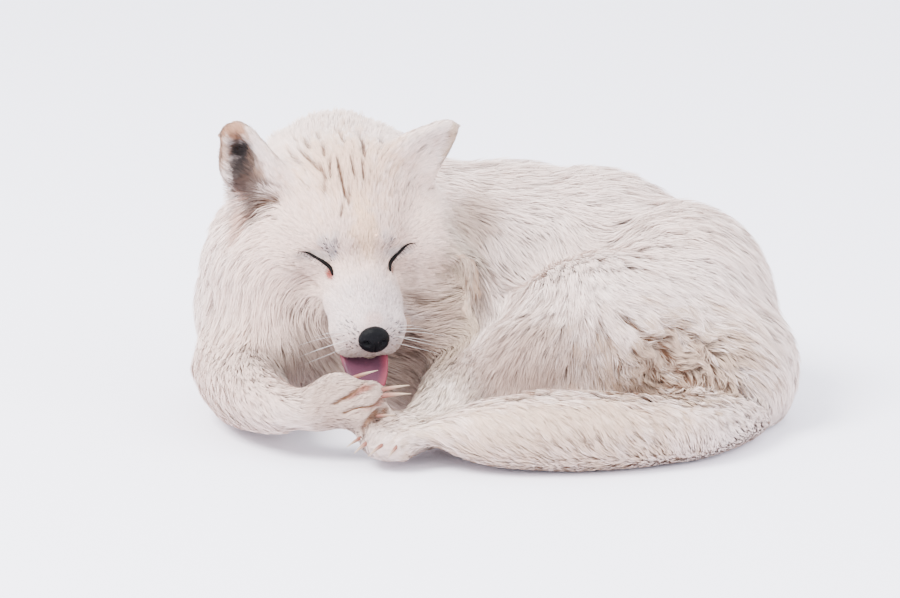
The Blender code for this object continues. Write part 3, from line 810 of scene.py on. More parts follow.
# name: (centre, radii, turn), colour, strength, raggedness
MARKINGS = {
    "cream face": (on_face((0, -30, 5), (85, 75, 75)), (0.75, 0.53, 0.445), 0.8, 0.2),
    "cream breast": (in_body(at("chest", 0.3, 0.0, 0.4), (110, 80, 80)), (0.74, 0.54, 0.46), 0.7, 0.3),
    "cream tail": (in_body(at("tail_middle", 0.5, 0.0, 0.5), (150, 60, 40)), (0.74, 0.56, 0.475), 0.8, 0.2),
    "curl shade": (in_body(at("chest", 0.75, 0.0, 0.42), (46, 60, 48)), (0.25, 0.165, 0.125), 0.85, 0.3),
    "neck shade": (on_face((50, -68, -38), (34, 26, 28)), (0.30, 0.21, 0.165), 0.8, 0.5),
    "side shade": (on_face((69, -42, -1), (17, 58, 32)), (0.23, 0.155, 0.12), 0.88, 0.4),
    "foreleg shade": (on_face((54, -94, -31), (19, 34, 16)), (0.25, 0.17, 0.13), 0.85, 0.5),
    "shade behind the cheek": (on_face((76, 18, -2), (12, 44, 16)), (0.44, 0.31, 0.24), 0.65, 0.5),
    "breast shade": (on_face((-38, -64, -41), (38, 26, 30)), (0.27, 0.19, 0.15), 0.78, 0.6),
    # painted shade in the pocket of the fold under the cheek
    "shade in the fold under the cheek": (on_face((33, -68, -21), (13, 16, 8)), (0.26, 0.17, 0.13), 0.85, 0.4),
    "curl shade left": (in_body(at("loins", 0.06, 0.10, 0.45), (20, 50, 50)), (0.50, 0.37, 0.27), 0.6, 0.3),
    "flank cream": (in_body(at("loins", 0.55, 0.0, 0.35), (60, 60, 40)), (0.68, 0.50, 0.41), 0.55, 0.4),
    # painted shade along the fold in front of the thigh
    "shade in the thigh fold": (
        in_body(at("hind_leg_left", 0.27, 0.22, 0.69), (26, 14, 5), (0, -37, 0)),
        (0.50, 0.37, 0.27), 0.6, 0.5,
    ),
    "thigh shade": (
        in_body(at("hind_leg_left", 0.22, 0.15, 0.5), (50, 38, 56)), (0.38, 0.26, 0.215), 0.9, 0.5,
    ),
    "lower thigh": (in_body(at("hind_leg_left", 0.5, 0.0, 0.3), (70, 30, 20)), (0.62, 0.47, 0.39), 0.25, 0.6),
    "matted patch": (in_body(MAT_CENTRE, MAT_SIZE / MM), (0.42, 0.28, 0.195), 0.85, 1.2),
    "tail streaks": (in_body(at("tail_middle", 0.4, 0.0, 0.5), (110, 60, 26)), (0.58, 0.40, 0.28), 0.65, 1.2),
    "foreleg cream": (in_body(at("foreleg_left", 0.4, 0.3, 0.4), (40, 60, 30)), (0.66, 0.54, 0.44), 0.5, 0.4),
    "crown cream": (on_face((-3, -6, 50), (34, 54, 30)), (0.66, 0.44, 0.32), 0.75, 1.0),
    "brow stripe": (on_face((4, -46, 26), (10, 16, 22)), (0.78, 0.53, 0.36), 0.8, 0.5),
    # painted shade: near-black down the hollow, throat and base of the right ear, brown at its foot
    "shade in the right ear hollow": (on_face((-63.8, 16, 50), (9, 16, 18), -18), (0.016, 0.010, 0.009), 1.0, 0.4),
    "shade in the right ear throat": (on_face((-61, 12, 37), (9, 16, 14), -14), (0.030, 0.019, 0.016), 0.95, 0.5),
    "shade at the right ear base": (on_face((-56, 2, 30), (16, 14, 8), 25), (0.055, 0.028, 0.020), 0.95, 0.8),
    "shade at the right ear foot": (on_face((-62, 2, 21), (9, 12, 6), 20), (0.40, 0.20, 0.14), 0.7, 0.5),
    "right ear back": (on_face((-65, 35, 48), (26, 10.5, 44)), (0.78, 0.60, 0.525), 1.0, 0.1),
    "right ear rim": (on_face((-78, 15, 50), (9, 15, 30), -4), (0.31, 0.16, 0.095), 0.9, 0.4),
    "right ear tip": (on_face((-69.5, 14, 66.5), (15, 14, 13)), (0.30, 0.145, 0.08), 0.95, 0.5),
    "right ear inner edge": (on_face((-54, 10, 40), (5, 14, 12), -20), (0.34, 0.20, 0.14), 0.7, 0.6),
    # painted shade in the bowl of the left ear
    "shade in the left ear hollow": (on_face((63, 12, 40), (7, 10, 14), 30), (0.38, 0.27, 0.21), 0.6, 0.6),
    "left ear edge": (on_face((67, 13, 50), (8, 11, 19), 14), (0.48, 0.33, 0.22), 0.75, 0.5),
    "left brow": (on_face((18, -47, 20), (6, 10, 6), 25), (0.46, 0.42, 0.43), 0.35, 0.9),
    "right brow": (on_face((-18, -47, 18), (8, 10, 8), -25), (0.40, 0.38, 0.41), 0.5, 0.9),
    # grey painted shade along the creases of the closed lids
    "shade along the left lid": (on_face((25, -46, 8.5), (13, 12, 3.4), 16), (0.28, 0.26, 0.27), 0.55, 0.4),
    "shade along the right lid": (on_face((-25, -46, 9.5), (14, 12, 3.6), -16), (0.25, 0.23, 0.24), 0.6, 0.4),
    "left tear": (on_face((20, -55, 1.5), (2.0, 5, 2.4)), (0.20, 0.07, 0.04), 0.9, 0.2),
    "right tear": (on_face((-19.3, -56, 2.6), (3.2, 6, 3.6)), (0.26, 0.035, 0.02), 1.0, 0.2),
    "muzzle": (on_face((0, -84, -8), (34, 34, 24)), (0.76, 0.65, 0.665), 0.6, 0.2),
    "top of the nose": (on_face((2, -99, -3), (9, 7, 4)), (0.60, 0.40, 0.36), 0.6, 0.3),
    # the black lower lip, with painted shade inside the mouth under the upper lip
    "lip": (on_face((0, -94, -38), (16, 26, 9)), (0.05, 0.022, 0.02), 0.95, 0.1),
    "cheek": (on_face((60, -10, -10), (22, 30, 30)), (0.68, 0.57, 0.48), 0.45, 0.4),
    "paw cream": (in_body(at("forepaw_right", 0.55, 0.3, 0.5), (48, 36, 28)), (0.44, 0.30, 0.24), 0.85, 0.3),
    # the reddish creases between the toes, darkened further with painted shade
    "lower toe crease": (
        in_body(at("forepaw_right", 0.75, 0.22, 0.49), (15, 6, 2.4), (0, -16, 0)),
        (0.28, 0.10, 0.07), 0.9, 0.3,
    ),
    "upper toe crease": (
        in_body(at("forepaw_right", 0.62, 0.32, 0.71), (15, 6, 2.4), (0, -28, 0)),
        (0.24, 0.075, 0.05), 0.9, 0.3,
    ),
    # a near-black painted shadow in the gap where the two forepaws meet
    "between the paws": (
        in_body(at("forepaw_left", 0.23, 0.46, 0.95), (14, 3.2, 3.4), (0, -27, 35)),
        (0.10, 0.05, 0.035), 0.95, 0.2,
    ),
}
# name: (centre, radii, turn), millimetres between the dots, colour
SPECKLES = {
    "left whisker roots": (on_face((15, -96, -15), (8, 12, 10)), 2.4, (0.03, 0.03, 0.04)),
    "right whisker roots": (on_face((-15, -96, -15), (9, 12, 12)), 2.2, (0.02, 0.02, 0.03)),
    "left brow specks": (on_face((17, -47, 19), (5, 10, 6)), 3.0, (0.10, 0.10, 0.12)),
    "right brow specks": (on_face((-17, -48, 16), (6, 10, 8)), 2.6, (0.06, 0.06, 0.08)),
}


def join(tree, kind, *inputs, **settings):
    """Adds a node, sets its options and feeds its inputs in order; None leaves a socket alone."""
    node = tree.nodes.new("ShaderNode" + kind)
    for key, value in settings.items():
        setattr(node, key, value)
    for socket, value in zip(node.inputs, inputs):
        if isinstance(value, bpy.types.NodeSocket):
            tree.links.new(value, socket)
        elif value is not None:
            socket.default_value = value
    return node


# %% [markdown]
# The group takes a place and gives a colour. Inside, each marking's Mapping node turns its ellipsoid
# into a unit ball, the distance from the middle gives a soft mask, and the mask mixes its colour in.
# The dots are cells of a Voronoi texture, let through only inside their own ellipsoids.

# %% The markings group
WARM_WHITE = (0.78, 0.60, 0.525)


def distance_in(tree, place, ellipsoid, label):
    """How far a place is from the middle of an ellipsoid, 1 at its surface."""
    centre, radii, turn = ellipsoid
    ball = join(tree, "Mapping", place, centre, turn, radii, vector_type="TEXTURE", label=label)
    return join(tree, "VectorMath", ball.outputs[0], operation="LENGTH").outputs["Value"]


markings = bpy.data.node_groups.new("fox markings", "ShaderNodeTree")
markings.interface.new_socket("Place", in_out="INPUT", socket_type="NodeSocketVector")
markings.interface.new_socket("Colour", in_out="OUTPUT", socket_type="NodeSocketColor")
inlet = markings.nodes.new("NodeGroupInput")
outlet = markings.nodes.new("NodeGroupOutput")
place = inlet.outputs["Place"]
ragged = join(markings, "TexNoise", place, None, 160.0, 3.0, 0.6).outputs["Fac"]
ragged = join(markings, "Math", ragged, 0.5, operation="SUBTRACT").outputs[0]
broad = join(markings, "TexNoise", place, None, 22.0, 2.0, 0.5).outputs["Fac"]
warm = join(markings, "MapRange", broad, 0.35, 0.7, 0.0, 0.45).outputs[0]
colour = join(markings, "MixRGB", warm, (*COAT_WHITE, 1), (*WARM_WHITE, 1)).outputs[0]
for name, (ellipsoid, tint, strength, rough) in MARKINGS.items():
    away = distance_in(markings, place, ellipsoid, name)
    away = join(markings, "Math", ragged, rough * 3.0, away, operation="MULTIPLY_ADD").outputs[0]
    mask = join(markings, "MapRange", away, 0.45, 1.2, strength, 0.0, interpolation_type="SMOOTHSTEP")
    colour = join(markings, "MixRGB", mask.outputs[0], colour, (*tint, 1)).outputs[0]
for name, (ellipsoid, spots_apart, tint) in SPECKLES.items():
    away = distance_in(markings, place, ellipsoid, name)
    region = join(markings, "MapRange", away, 0.7, 1.0, 1.0, 0.0).outputs[0]
    dot = join(markings, "TexVoronoi", place, None, 1 / (spots_apart * MM)).outputs["Distance"]
    dot = join(markings, "MapRange", dot, 0.22, 0.40, 0.9, 0.0).outputs[0]
    mask = join(markings, "Math", region, dot, operation="MULTIPLY").outputs[0]
    colour = join(markings, "MixRGB", mask, colour, (*tint, 1)).outputs[0]
markings.links.new(colour, outlet.inputs["Colour"])
print(len(MARKINGS), "markings and", len(SPECKLES), "groups of dots")


# %% [markdown]
# Two materials wear the markings. The skin, seen between the tufts, is a shade deeper and has a fine
# grain, for the underfur. A tuft is deeper at its root and paler at its tip, partly the underfur's own
# colour and partly painted shade deep in the coat, and no two are the same.
# Both are rough, with a touch of sheen on the fur, because dry winter fur hardly shines.

# %% Skin and fur
# dark brown painted shade for tufts that sink into a parting
PARTING_SHADE = (0.155, 0.068, 0.034, 1)


def new_material(name, roughness, specular):
    """A material, its node tree and its shader."""
    finish = bpy.data.materials.new(name)
    finish.use_nodes = True
    shader = finish.node_tree.nodes["Principled BSDF"]
    shader.inputs["Roughness"].default_value = roughness
    shader.inputs["Specular IOR Level"].default_value = specular
    return finish, finish.node_tree, shader


def marked_colour(tree):
    """The root's place and the colour that the markings give there."""
    spot = join(tree, "Attribute", attribute_name="place").outputs["Vector"]
    group = join(tree, "Group", node_tree=markings)
    tree.links.new(spot, group.inputs["Place"])
    return spot, group.outputs["Colour"]


skin_finish, tree, shader = new_material("fox skin", 0.85, 0.15)
spot, colour = marked_colour(tree)
deeper = join(tree, "MixRGB", 1.0, colour, (0.90, 0.84, 0.80, 1), blend_type="MULTIPLY").outputs[0]
tree.links.new(deeper, shader.inputs["Base Color"])
grain = join(tree, "TexNoise", spot, None, 900.0, 3.0, 0.6).outputs["Fac"]
bump = join(tree, "Bump", 0.5, 0.0006, None, grain)
tree.links.new(bump.outputs[0], shader.inputs["Normal"])

fur_finish, tree, shader = new_material("fox fur", 0.62, 0.25)
spot, colour = marked_colour(tree)
along = join(tree, "Attribute", attribute_name="along").outputs["Fac"]
shade = join(tree, "Attribute", attribute_name="shade").outputs["Fac"]
# darker at the root: partly the underfur's own colour and partly painted shade deep in the coat
root_colour_and_depth_shade = join(tree, "MapRange", along, 0.0, 0.75, 0.62, 1.05).outputs[0]
own_tone = join(tree, "MapRange", shade, -0.4, 1.0, 0.66, 1.14).outputs[0]
tone = join(tree, "Math", root_colour_and_depth_shade, own_tone, operation="MULTIPLY").outputs[0]
toned = join(tree, "VectorMath", colour, None, None, tone, operation="SCALE")
# painted shade: tufts sunk in a parting take the dark brown
gap = join(tree, "Attribute", attribute_name="parting").outputs["Fac"]
gap_shaded = join(tree, "MixRGB", gap, toned.outputs[0], PARTING_SHADE).outputs[0]
tree.links.new(gap_shaded, shader.inputs["Base Color"])
shader.inputs["Sheen Weight"].default_value = 0.15
shader.inputs["Sheen Roughness"].default_value = 0.5
print("fur and skin share the markings")


# %% [markdown]
# The skin takes its drawn-in shape, its attribute and an unwrap, which the tufts will share. It
# stands for all the solids that it was fused from.

# %% Finish the skin
def set_attribute(mesh, name, values):
    kind, slot = ("FLOAT_VECTOR", "vector") if values.ndim == 2 else ("FLOAT", "value")
    mesh.attributes.new(name, kind, "POINT").data.foreach_set(slot, values.ravel())


set_vertices(skin.data, inner)
set_attribute(skin.data, "place", outer)
select_only(skin)
bpy.ops.object.mode_set(mode="EDIT")
bpy.ops.mesh.select_all(action="SELECT")
bpy.ops.uv.smart_project(angle_limit=math.radians(66), island_margin=0.004)
bpy.ops.object.mode_set(mode="OBJECT")
bpy.ops.object.shade_smooth()
skin.data.materials.append(skin_finish)
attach(skin, "root")
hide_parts(*flesh)
corner_uv = np.empty(len(skin.data.loops) * 2)
skin.data.uv_layers.active.data.foreach_get("uv", corner_uv)
corner_vertex = np.empty(len(skin.data.loops), dtype=np.int64)
skin.data.loops.foreach_get("vertex_index", corner_vertex)
skin_uv = np.zeros((len(skin.data.vertices), 2))
skin_uv[corner_vertex] = corner_uv.reshape(-1, 2)
print("skin unwrapped in", len(skin.data.uv_layers), "map")


# %% [markdown]
# ## The coat
#
# Hair curves would be quick to grow, but they are lost when a model leaves Blender for another
# program. So the coat is solid mesh: each tuft is a thin, tapering blade. It leaves the skin, rises
# through the coat in a low arc and ends lying along the outer surface, where the comb leads it. We
# first find that route for every vertex: a short walk over the outer surface, reading the comb again
# at each step, with the place on the skin below kept beside it. A tuft's own route is then a mix of
# those at the corners of its triangle.

# %% Walk along the comb
STEPS = 4


def walk(points, normals, lie, triangles, length):
    """The outer and inner routes, and the normals along them, for each vertex."""
    outside, inside, upright = [points], [inner], [normals]
    here, heading = points.copy(), lie
    for _ in range(STEPS):
        ahead = here + heading * (length / STEPS)[:, None]
        found = [outer_tree.find_nearest(Vector(p)) for p in ahead]
        here = np.array([hit[0] for hit in found])
        a, b, c = triangles[[hit[2] for hit in found]].T
        u, v = points[b] - points[a], points[c] - points[a]
        w = here - points[a]
        uu, uv, vv = (np.sum(p * q, axis=1) for p, q in ((u, u), (u, v), (v, v)))
        wu, wv = np.sum(w * u, axis=1), np.sum(w * v, axis=1)
        scale = np.maximum(uu * vv - uv**2, 1e-18)
        beta, gamma = (vv * wu - uv * wv) / scale, (uu * wv - uv * wu) / scale
        mix = [(a, 1 - beta - gamma), (b, beta), (c, gamma)]
        outside.append(here)
        inside.append(sum(inner[i] * t[:, None] for i, t in mix))
        upright.append(unit(sum(normals[i] * t[:, None] for i, t in mix)))
        heading = along_surface(heading * 0.35 + sum(lie[i] * t[:, None] for i, t in mix) * 0.65, upright[-1])
    return (np.stack(part, axis=1) for part in (outside, inside, upright))


outside, inside, upright = walk(outer, normals, lie, triangles, facts[:, 1] * MM)
reached = np.linalg.norm(outside[:, -1] - outside[:, 0], axis=1)
print("the routes are up to", round(float(reached.max()) / MM), "mm long")


# %% [markdown]
# Where locks part, a narrow dark gap opens down into the coat: between the locks of the crown, at
# the roots of the ears, in front of the thigh, between the toes, down the side of the tail, and as
# cracks in the matted fur. Each is a line of a few points. Tufts that pass over it sink, and the
# material gives them a dark brown painted shade there.

# %% Partings in the coat
def over_head(*points):
    return [HEAD @ Vector(point) for point in points]


def on_haunch(*points):
    """Places across and up from the middle of the matted patch, in millimetres."""
    return [MAT_CENTRE + Vector((x, 0, z)) * MM for x, z in points]


def across_solid(name, *points):
    return [at(name, *point) for point in points]


# half width in millimetres, how deep it sinks as a share of the coat, the line
PARTINGS = [
    (1.2, 0.95, over_head((-7, 2, 55), (-7, -12, 51), (-6, -27, 43))),
    (1.0, 0.90, over_head((-2, -20, 46), (-5, -31, 41))),
    (0.9, 0.80, over_head((-8, -30, 41), (-11, -38, 36))),
    (1.1, 0.90, over_head((-11, 6, 54), (-14, -10, 51))),
    (1.5, 0.85, over_head((-27, 28, 45), (-23, 5, 51), (-19, -4, 50))),
    (1.4, 0.75, over_head((-20, 48, 41), (-22, 26, 47))),
    (1.4, 0.70, over_head((-12, 54, 43), (-13, 40, 45))),
    (1.2, 0.90, over_head((-19, 2, 52), (-17, -10, 49), (-19, -20, 43))),
    (1.6, 0.85, over_head((16, 50, 46), (13, 20, 53), (11, 4, 55))),
    (1.1, 0.85, over_head((2, 2, 55), (2, -14, 51))),
    (1.3, 0.65, over_head((-27, 52, 38), (-26, 42, 41))),
    (1.4, 0.80, over_head((-12, 30, 50), (-15, 10, 53))),
    (1.4, 0.70, over_head((30, 46, 40), (25, 4, 55))),
    (1.0, 0.80, over_head((9, -2, 55), (8, -16, 50))),
    (1.3, 0.65, over_head((2, 50, 45), (1, 26, 53))),
    (1.3, 0.65, over_head((-33, 30, 41), (-31, 8, 47))),
    (1.6, 0.90, over_head((-56, 0, 24), (-45, -4, 30))),
    (0.9, 0.35, over_head((-52, -39, 1), (-38, -43, -3), (-26, -51, -9))),
    (0.8, 0.30, over_head((-45, -40, 6), (-32, -44, -6))),
    (1.1, 0.75, over_head((-50, -2, 36), (-36, -8, 37))),
    (0.9, 0.70, over_head((-57, -8, 20), (-50, -13, 21))),
    (0.8, 0.60, over_head((-33, -4, 44), (-28, -12, 42))),
    (0.8, 0.60, over_head((47, 8, 50), (52, 10, 52))),
    (0.8, 0.60, over_head((36, -8, 36), (42, -2, 34))),
    (0.9, 0.65, over_head((54, 3, 24), (60, 9, 20))),
    (2.0, 1.00, on_haunch((-34, 30), (-24, 21), (-15, 13))),
    (2.0, 1.00, on_haunch((-10, 11), (-5, 3), (0, -6), (12, -12))),
    (1.5, 0.95, on_haunch((-48, 24), (-42, 13))),
    (1.6, 0.95, on_haunch((-30, 8), (-24, 2))),
    (1.3, 0.90, on_haunch((-5, 28), (-2, 20), (-7, 12))),
    (1.6, 0.90, on_haunch((10, -12), (2, -15), (-8, -16), (-16, -12))),
    (1.5, 0.90, on_haunch((12, -12), (24, -16), (34, -16))),
    (1.4, 0.85, on_haunch((40, -14), (50, -24))),
    (1.3, 0.85, on_haunch((-40, -2), (-34, -8))),
    (1.3, 0.85, on_haunch((14, 8), (22, 2), (24, -6))),
    (1.3, 0.85, on_haunch((-20, 0), (-14, -8))),
    (1.1, 0.80, on_haunch((4, 24), (14, 20), (18, 12))),
    (1.3, 0.75, on_haunch((-129, 6), (-124, -3), (-119, -14))),
    (1.1, 0.90, across_solid("hind_leg_left", (0.22, 0.59, 0.84), (0.28, 0.59, 0.90))),
    (2.2, 0.45, across_solid("hind_leg_left", (0.17, 0.26, 0.69), (0.26, 0.33, 0.77), (0.36, 0.32, 0.83))),
    (1.2, 0.60, across_solid("chest", (0.75, 0.05, 0.34), (0.88, 0.0, 0.42))),
    (1.0, 1.00, across_solid("forepaw_right", *CREASES["upper toes"][1])),
    (0.9, 1.00, across_solid("forepaw_right", *CREASES["lower toes"][1])),
    (0.6, 0.60, across_solid("forepaw_right", (0.06, 0.37, 0.52), (0.17, 0.36, 0.66))),
    (1.6, 1.00, across_solid("forepaw_left", *CREASES["between the paws"][1])),
]
for step in range(9):
    x, top = 0.06 + 0.11 * step, 0.62 - 0.05 * (step % 3)
    PARTINGS.append((1.2, 0.55, across_solid("tail_middle", (x, 0, top), (x + 0.05, 0, 0.36))))
print(len(PARTINGS), "partings")


# %% [markdown]
# The points of a parting are only near the surface, so the line is cut into short pieces, and each
# of them is brought to the nearest place on the coat. A tuft can then ask how close it comes.

# %% Lay the partings on the coat
PARTING_MARGIN = 6 * MM


def laid_on(line, pieces=6):
    """The line cut into short pieces, each point brought to the nearest place on the surface."""
    cut = [a.lerp(b, t / pieces) for a, b in zip(line, line[1:]) for t in range(pieces)] + [line[-1]]
    return [outer_tree.find_nearest(point)[0] for point in cut]


laid_partings = [(width, sink, laid_on(line)) for width, sink, line in PARTINGS]


def parted(points):
    """How far each point is sunk into a parting, 0 to 1."""
    flat = points.reshape(-1, 3)
    sunk = np.zeros(len(flat))
    for width, sink, line in laid_partings:
        low = np.min(line, axis=0) - PARTING_MARGIN
        high = np.max(line, axis=0) + PARTING_MARGIN
        near = np.flatnonzero(np.all((flat > low) & (flat < high), axis=1))
        gap = distance_to_line(flat[near], line) / (width * MM)
        sunk[near] = np.maximum(sunk[near], sink * np.clip(1.5 - gap, 0, 1))
    return sunk.reshape(points.shape[:-1])


print("points on the partings:", sum(len(line) for _, _, line in laid_partings))


# %% [markdown]
# Roots are scattered over the outer surface by area, so the visible cover is even. Each part of the
# body has its own number of tufts to the square millimetre: few and large on the back, many and
# small on the face and feet. All later random draws come from one seeded source, in a fixed order, so
# the same coat grows on every run.

# %% Tufts to each square millimetre
# coat piece: (solids, tufts per square millimetre, rows of vertices in a blade)
PIECES = {
    "coat_neck": (("neck",), 1.35, 4),
    "coat_chest": (("chest",), 0.80, 4),
    "coat_loins": (("loins",), 0.82, 4),
    "coat_rump": (("rump",), 0.82, 4),
    "coat_haunch": (("hind_leg_left",), 1.65, 4),
    "coat_legs": (("foreleg_left", "foreleg_right", "hind_leg_right"), 1.25, 4),
    "coat_paws": (("forepaw_left", "forepaw_right", "hind_paw_left", "hind_paw_right"), 2.9, 3),
    "coat_tail": (("tail_root", "tail_middle", "tail_tip"), 1.3, 4),
    "coat_head": (("head", "eye_left", "eye_right", "lower_jaw"), 3.3, 3),
    "coat_ears": (("ear_left", "ear_right"), 3.2, 3),
}
random = np.random.default_rng(2026)
corner_a, corner_b, corner_c = (outer[triangles[:, i]] for i in range(3))
areas = np.linalg.norm(np.cross(corner_b - corner_a, corner_c - corner_a), axis=1) / 2 / MM**2
belongs = {
    name: np.isin(owner[triangles[:, 0]], [flesh.index(part) for part in parts])
    for name, (parts, _, _) in PIECES.items()
}
for name, mine in belongs.items():
    print(name, "covers", round(areas[mine].sum() / 100), "square cm")


# %% [markdown]
# Tufts are best spent where they can be seen, so two tests are made at each vertex: how much of its
# sky is open, and whether it has a clear view to the front.

# %% What can be seen
TO_FRONT = Vector((0, -0.97, 0.24))
OFF_SURFACE = 0.8 * MM


def openness(points, normals, reach=60 * MM, to_floor=30 * MM, rays=8):
    """The share of the directions out of each point that nothing blocks, the floor included."""
    aims = unit(random.normal(size=(rays, 3)))
    free = np.zeros(len(points))
    for i, (p, n) in enumerate(zip(points, normals)):
        start = Vector(p + n * OFF_SURFACE)
        for aim in aims:
            ray = Vector(aim + n * 1.15).normalized()
            floored = ray.z < 0 and start.z / -ray.z < to_floor
            if not floored and outer_tree.ray_cast(start, ray, reach)[0] is None:
                free[i] += 1 / rays
    return free


def faces_front(points, normals):
    """1 where a line to the front and a little up meets nothing, 0 elsewhere."""
    starts = [Vector(p + n * OFF_SURFACE) for p, n in zip(points, normals)]
    return np.array([float(outer_tree.ray_cast(start, TO_FRONT)[0] is None) for start in starts])


# %% [markdown]
# The underside, pressed to the floor, and the deep folds need only a few tufts, and the far side of
# the back a quarter fewer. What faces the front on the near side always has its full number.

# %% Cover on each triangle
# shares of the full number where the coat is hidden, and on the far side
HIDDEN, FAR_SIDE = 0.12, 0.75
seen = spread(openness(outer, normals)[:, None], edges, 3)[triangles].mean(axis=1)[:, 0]
cover = HIDDEN + (1 - HIDDEN) * np.clip((seen - 0.06) / 0.2, 0, 1)
front = spread(faces_front(outer, normals)[:, None], edges, 2)[triangles].mean(axis=1)[:, 0]
cover = np.maximum(cover, np.clip(front * 2, 0, 1))
cover *= np.where(outer[triangles].mean(axis=1)[:, 1] > at("loins", 0, 0.8, 0).y, FAR_SIDE, 1.0)
print("cover from", round(float(cover.min()), 2), "to", round(float(cover.max()), 2))


# %% [markdown]
# Fur hangs together. Neighbouring tufts lean towards a leader and form small locks, and the small
# locks gather again into larger ones, with gaps between them. Each lock also rises by its own amount,
# so the surface is never flat.

# %% Scatter the roots and gather them into locks
def scatter(chosen, density):
    """Random triangles and weights inside them, by area."""
    wanted = random.poisson(areas * density * chosen)
    where = np.repeat(np.arange(len(areas)), wanted)
    u, v = random.random(len(where)), random.random(len(where))
    over = u + v > 1
    u[over], v[over] = 1 - u[over], 1 - v[over]
    return triangles[where], np.stack([1 - u - v, u, v], axis=1)


def blend(field, corners, weights):
    """A vertex field, mixed at each root."""
    weights = weights.reshape(weights.shape + (1,) * (field.ndim - 1))
    return sum(field[corners[:, i]] * weights[:, i] for i in range(3))


def leaders(roots, spacing):
    """For each root, the index of the tuft that leads its lock."""
    cells = np.floor(roots / spacing[:, None]).astype(np.int64)
    _, first = np.unique(cells, axis=0, return_index=True)
    tree = KDTree(len(first))
    for i in first:
        tree.insert(Vector(roots[i]), int(i))
    tree.balance()
    return np.array([tree.find(Vector(root))[1] for root in roots])


# %% [markdown]
# The spine of a tuft is a point on each of a few rows. At every row the tuft is some way up between
# its inner and its outer route: steeply at first, then nearly level. Over a parting it stays low.

# %% Raise the spines
OVER = 0.5 * MM
SINK = 0.9
LEAD_APART = 0.25


def points_along(routes, share):
    """The places at a share of the way along each route."""
    at_step = np.clip(share, 0, 1) * STEPS
    low = np.minimum(at_step.astype(int), STEPS - 1)
    rest = (at_step - low)[:, None]
    each = np.arange(len(routes))
    return routes[each, low] * (1 - rest) + routes[each, low + 1] * rest


def raised(around, below, up, reach, rise, shares):
    """The spines, the body's normals along them, and how far each point is sunk in a parting."""
    spine, normal, sunk = [], [], []
    for s in shares:
        out, low = points_along(around, s * reach), points_along(below, s * reach)
        normal.append(unit(points_along(up, s * reach)))
        sunk.append(parted(out))
        lift = ((1 - (1 - s) ** 2) * rise * (1 - sunk[-1] * SINK))[:, None]
        spine.append(low + (out - low) * lift + normal[-1] * OVER * lift)
    return (np.stack(part, axis=1) for part in (spine, normal, sunk))


def gathered(spine, leader, strength, power, shares):
    """Draws each spine towards its leader's, more and more towards the tip."""
    pull = strength[:, None] * (0.7 + 0.3 * random.random(len(spine)))[:, None] * shares[None] ** power
    lead = spine[leader] + (spine[:, :1] - spine[leader][:, :1]) * LEAD_APART
    return spine + (lead - spine) * pull[..., None]


# %% [markdown]
# A blade has a pair of vertices at each row and a point at its tip. It sways a little from side to
# side, and its face looks out from the body, give or take a random roll. Its shading normals are bent
# towards the body's own, which gives the soft, even light of dense fur.

# %% Give a spine its width
ROLL = math.radians(80)
SWAY = 0.028
# rows of vertices in a blade: width of each pair, as a share of the tuft's
ROW_WIDTHS = {3: (0.85, 1.0), 4: (0.6, 1.0, 0.8)}


def both_edges(by_row):
    """Each row's value for both of its vertices, and the tip's for its one."""
    return np.concatenate([np.repeat(by_row[:, :-1], 2, axis=1), by_row[:, -1:]], axis=1)


def bladed(spine, normal, fact, shares):
    """The vertices of the blades and their shading normals."""
    count, rows = spine.shape[:2]
    along = np.gradient(spine, axis=1)
    side = unit(np.cross(along, normal))
    phase = random.random((count, 2)) * 6.28
    sway = np.sin(shares[None] * 5 + phase[:, :1]) - np.sin(phase[:, :1])
    spine = spine + side * (sway * (fact[:, 1] * SWAY * MM)[:, None])[..., None]
    roll = (random.random(count) - 0.5)[:, None, None] * ROLL
    side = side * np.cos(roll) + unit(np.cross(side, along)) * np.sin(roll)
    half = (fact[:, 2] * MM * (0.7 + 0.6 * random.random(count)))[:, None, None] / 2
    widths = np.array(ROW_WIDTHS[rows])[None, :, None]
    left = spine[:, :-1] - side[:, :-1] * half * widths
    right = spine[:, :-1] + side[:, :-1] * half * widths
    pairs = np.stack([left, right], axis=2).reshape(count, -1, 3)
    points = np.concatenate([pairs, spine[:, -1:]], axis=1)
    points[..., 2] = np.maximum(points[..., 2], LOWEST)
    return points, both_edges(unit(normal * 0.8 + unit(np.cross(side, along)) * 0.2))


# %% [markdown]
# The blades of a piece become one mesh, straight from the arrays. In the OFBake map each tuft is a
# small patch at its root's place on the skin's own unwrap.

# %% Turn arrays into a mesh
PATCH = 0.003


def mesh_of_blades(name, points, shading, root_uv, shares):
    count, per = points.shape[:2]
    pairs = per // 2
    faces = []
    for low in range(0, 2 * pairs - 2, 2):
        faces += [(low, low + 1, low + 3), (low, low + 3, low + 2)]
    faces.append((per - 3, per - 2, per - 1))
    loops = (np.arange(count)[:, None, None] * per + np.array(faces)[None]).ravel()
    mesh = bpy.data.meshes.new(name)
    mesh.vertices.add(count * per)
    mesh.vertices.foreach_set("co", points.ravel())
    mesh.loops.add(len(loops))
    mesh.loops.foreach_set("vertex_index", loops)
    mesh.polygons.add(len(loops) // 3)
    mesh.polygons.foreach_set("loop_start", np.arange(0, len(loops), 3))
    mesh.polygons.foreach_set("use_smooth", np.ones(len(loops) // 3, dtype=bool))
    mesh.update()
    across, up = np.append(np.tile([-0.5, 0.5], pairs), 0.0), both_edges(shares[None])[0] - 0.5
    patch = np.stack([across, up], axis=1) * PATCH
    uv = (root_uv[:, None] + patch[None]).reshape(-1, 2)[loops]
    mesh.uv_layers.new(name="OFBake").data.foreach_set("uv", uv.ravel())
    mesh.normals_split_custom_set_from_vertices(shading.reshape(-1, 3))
    return mesh


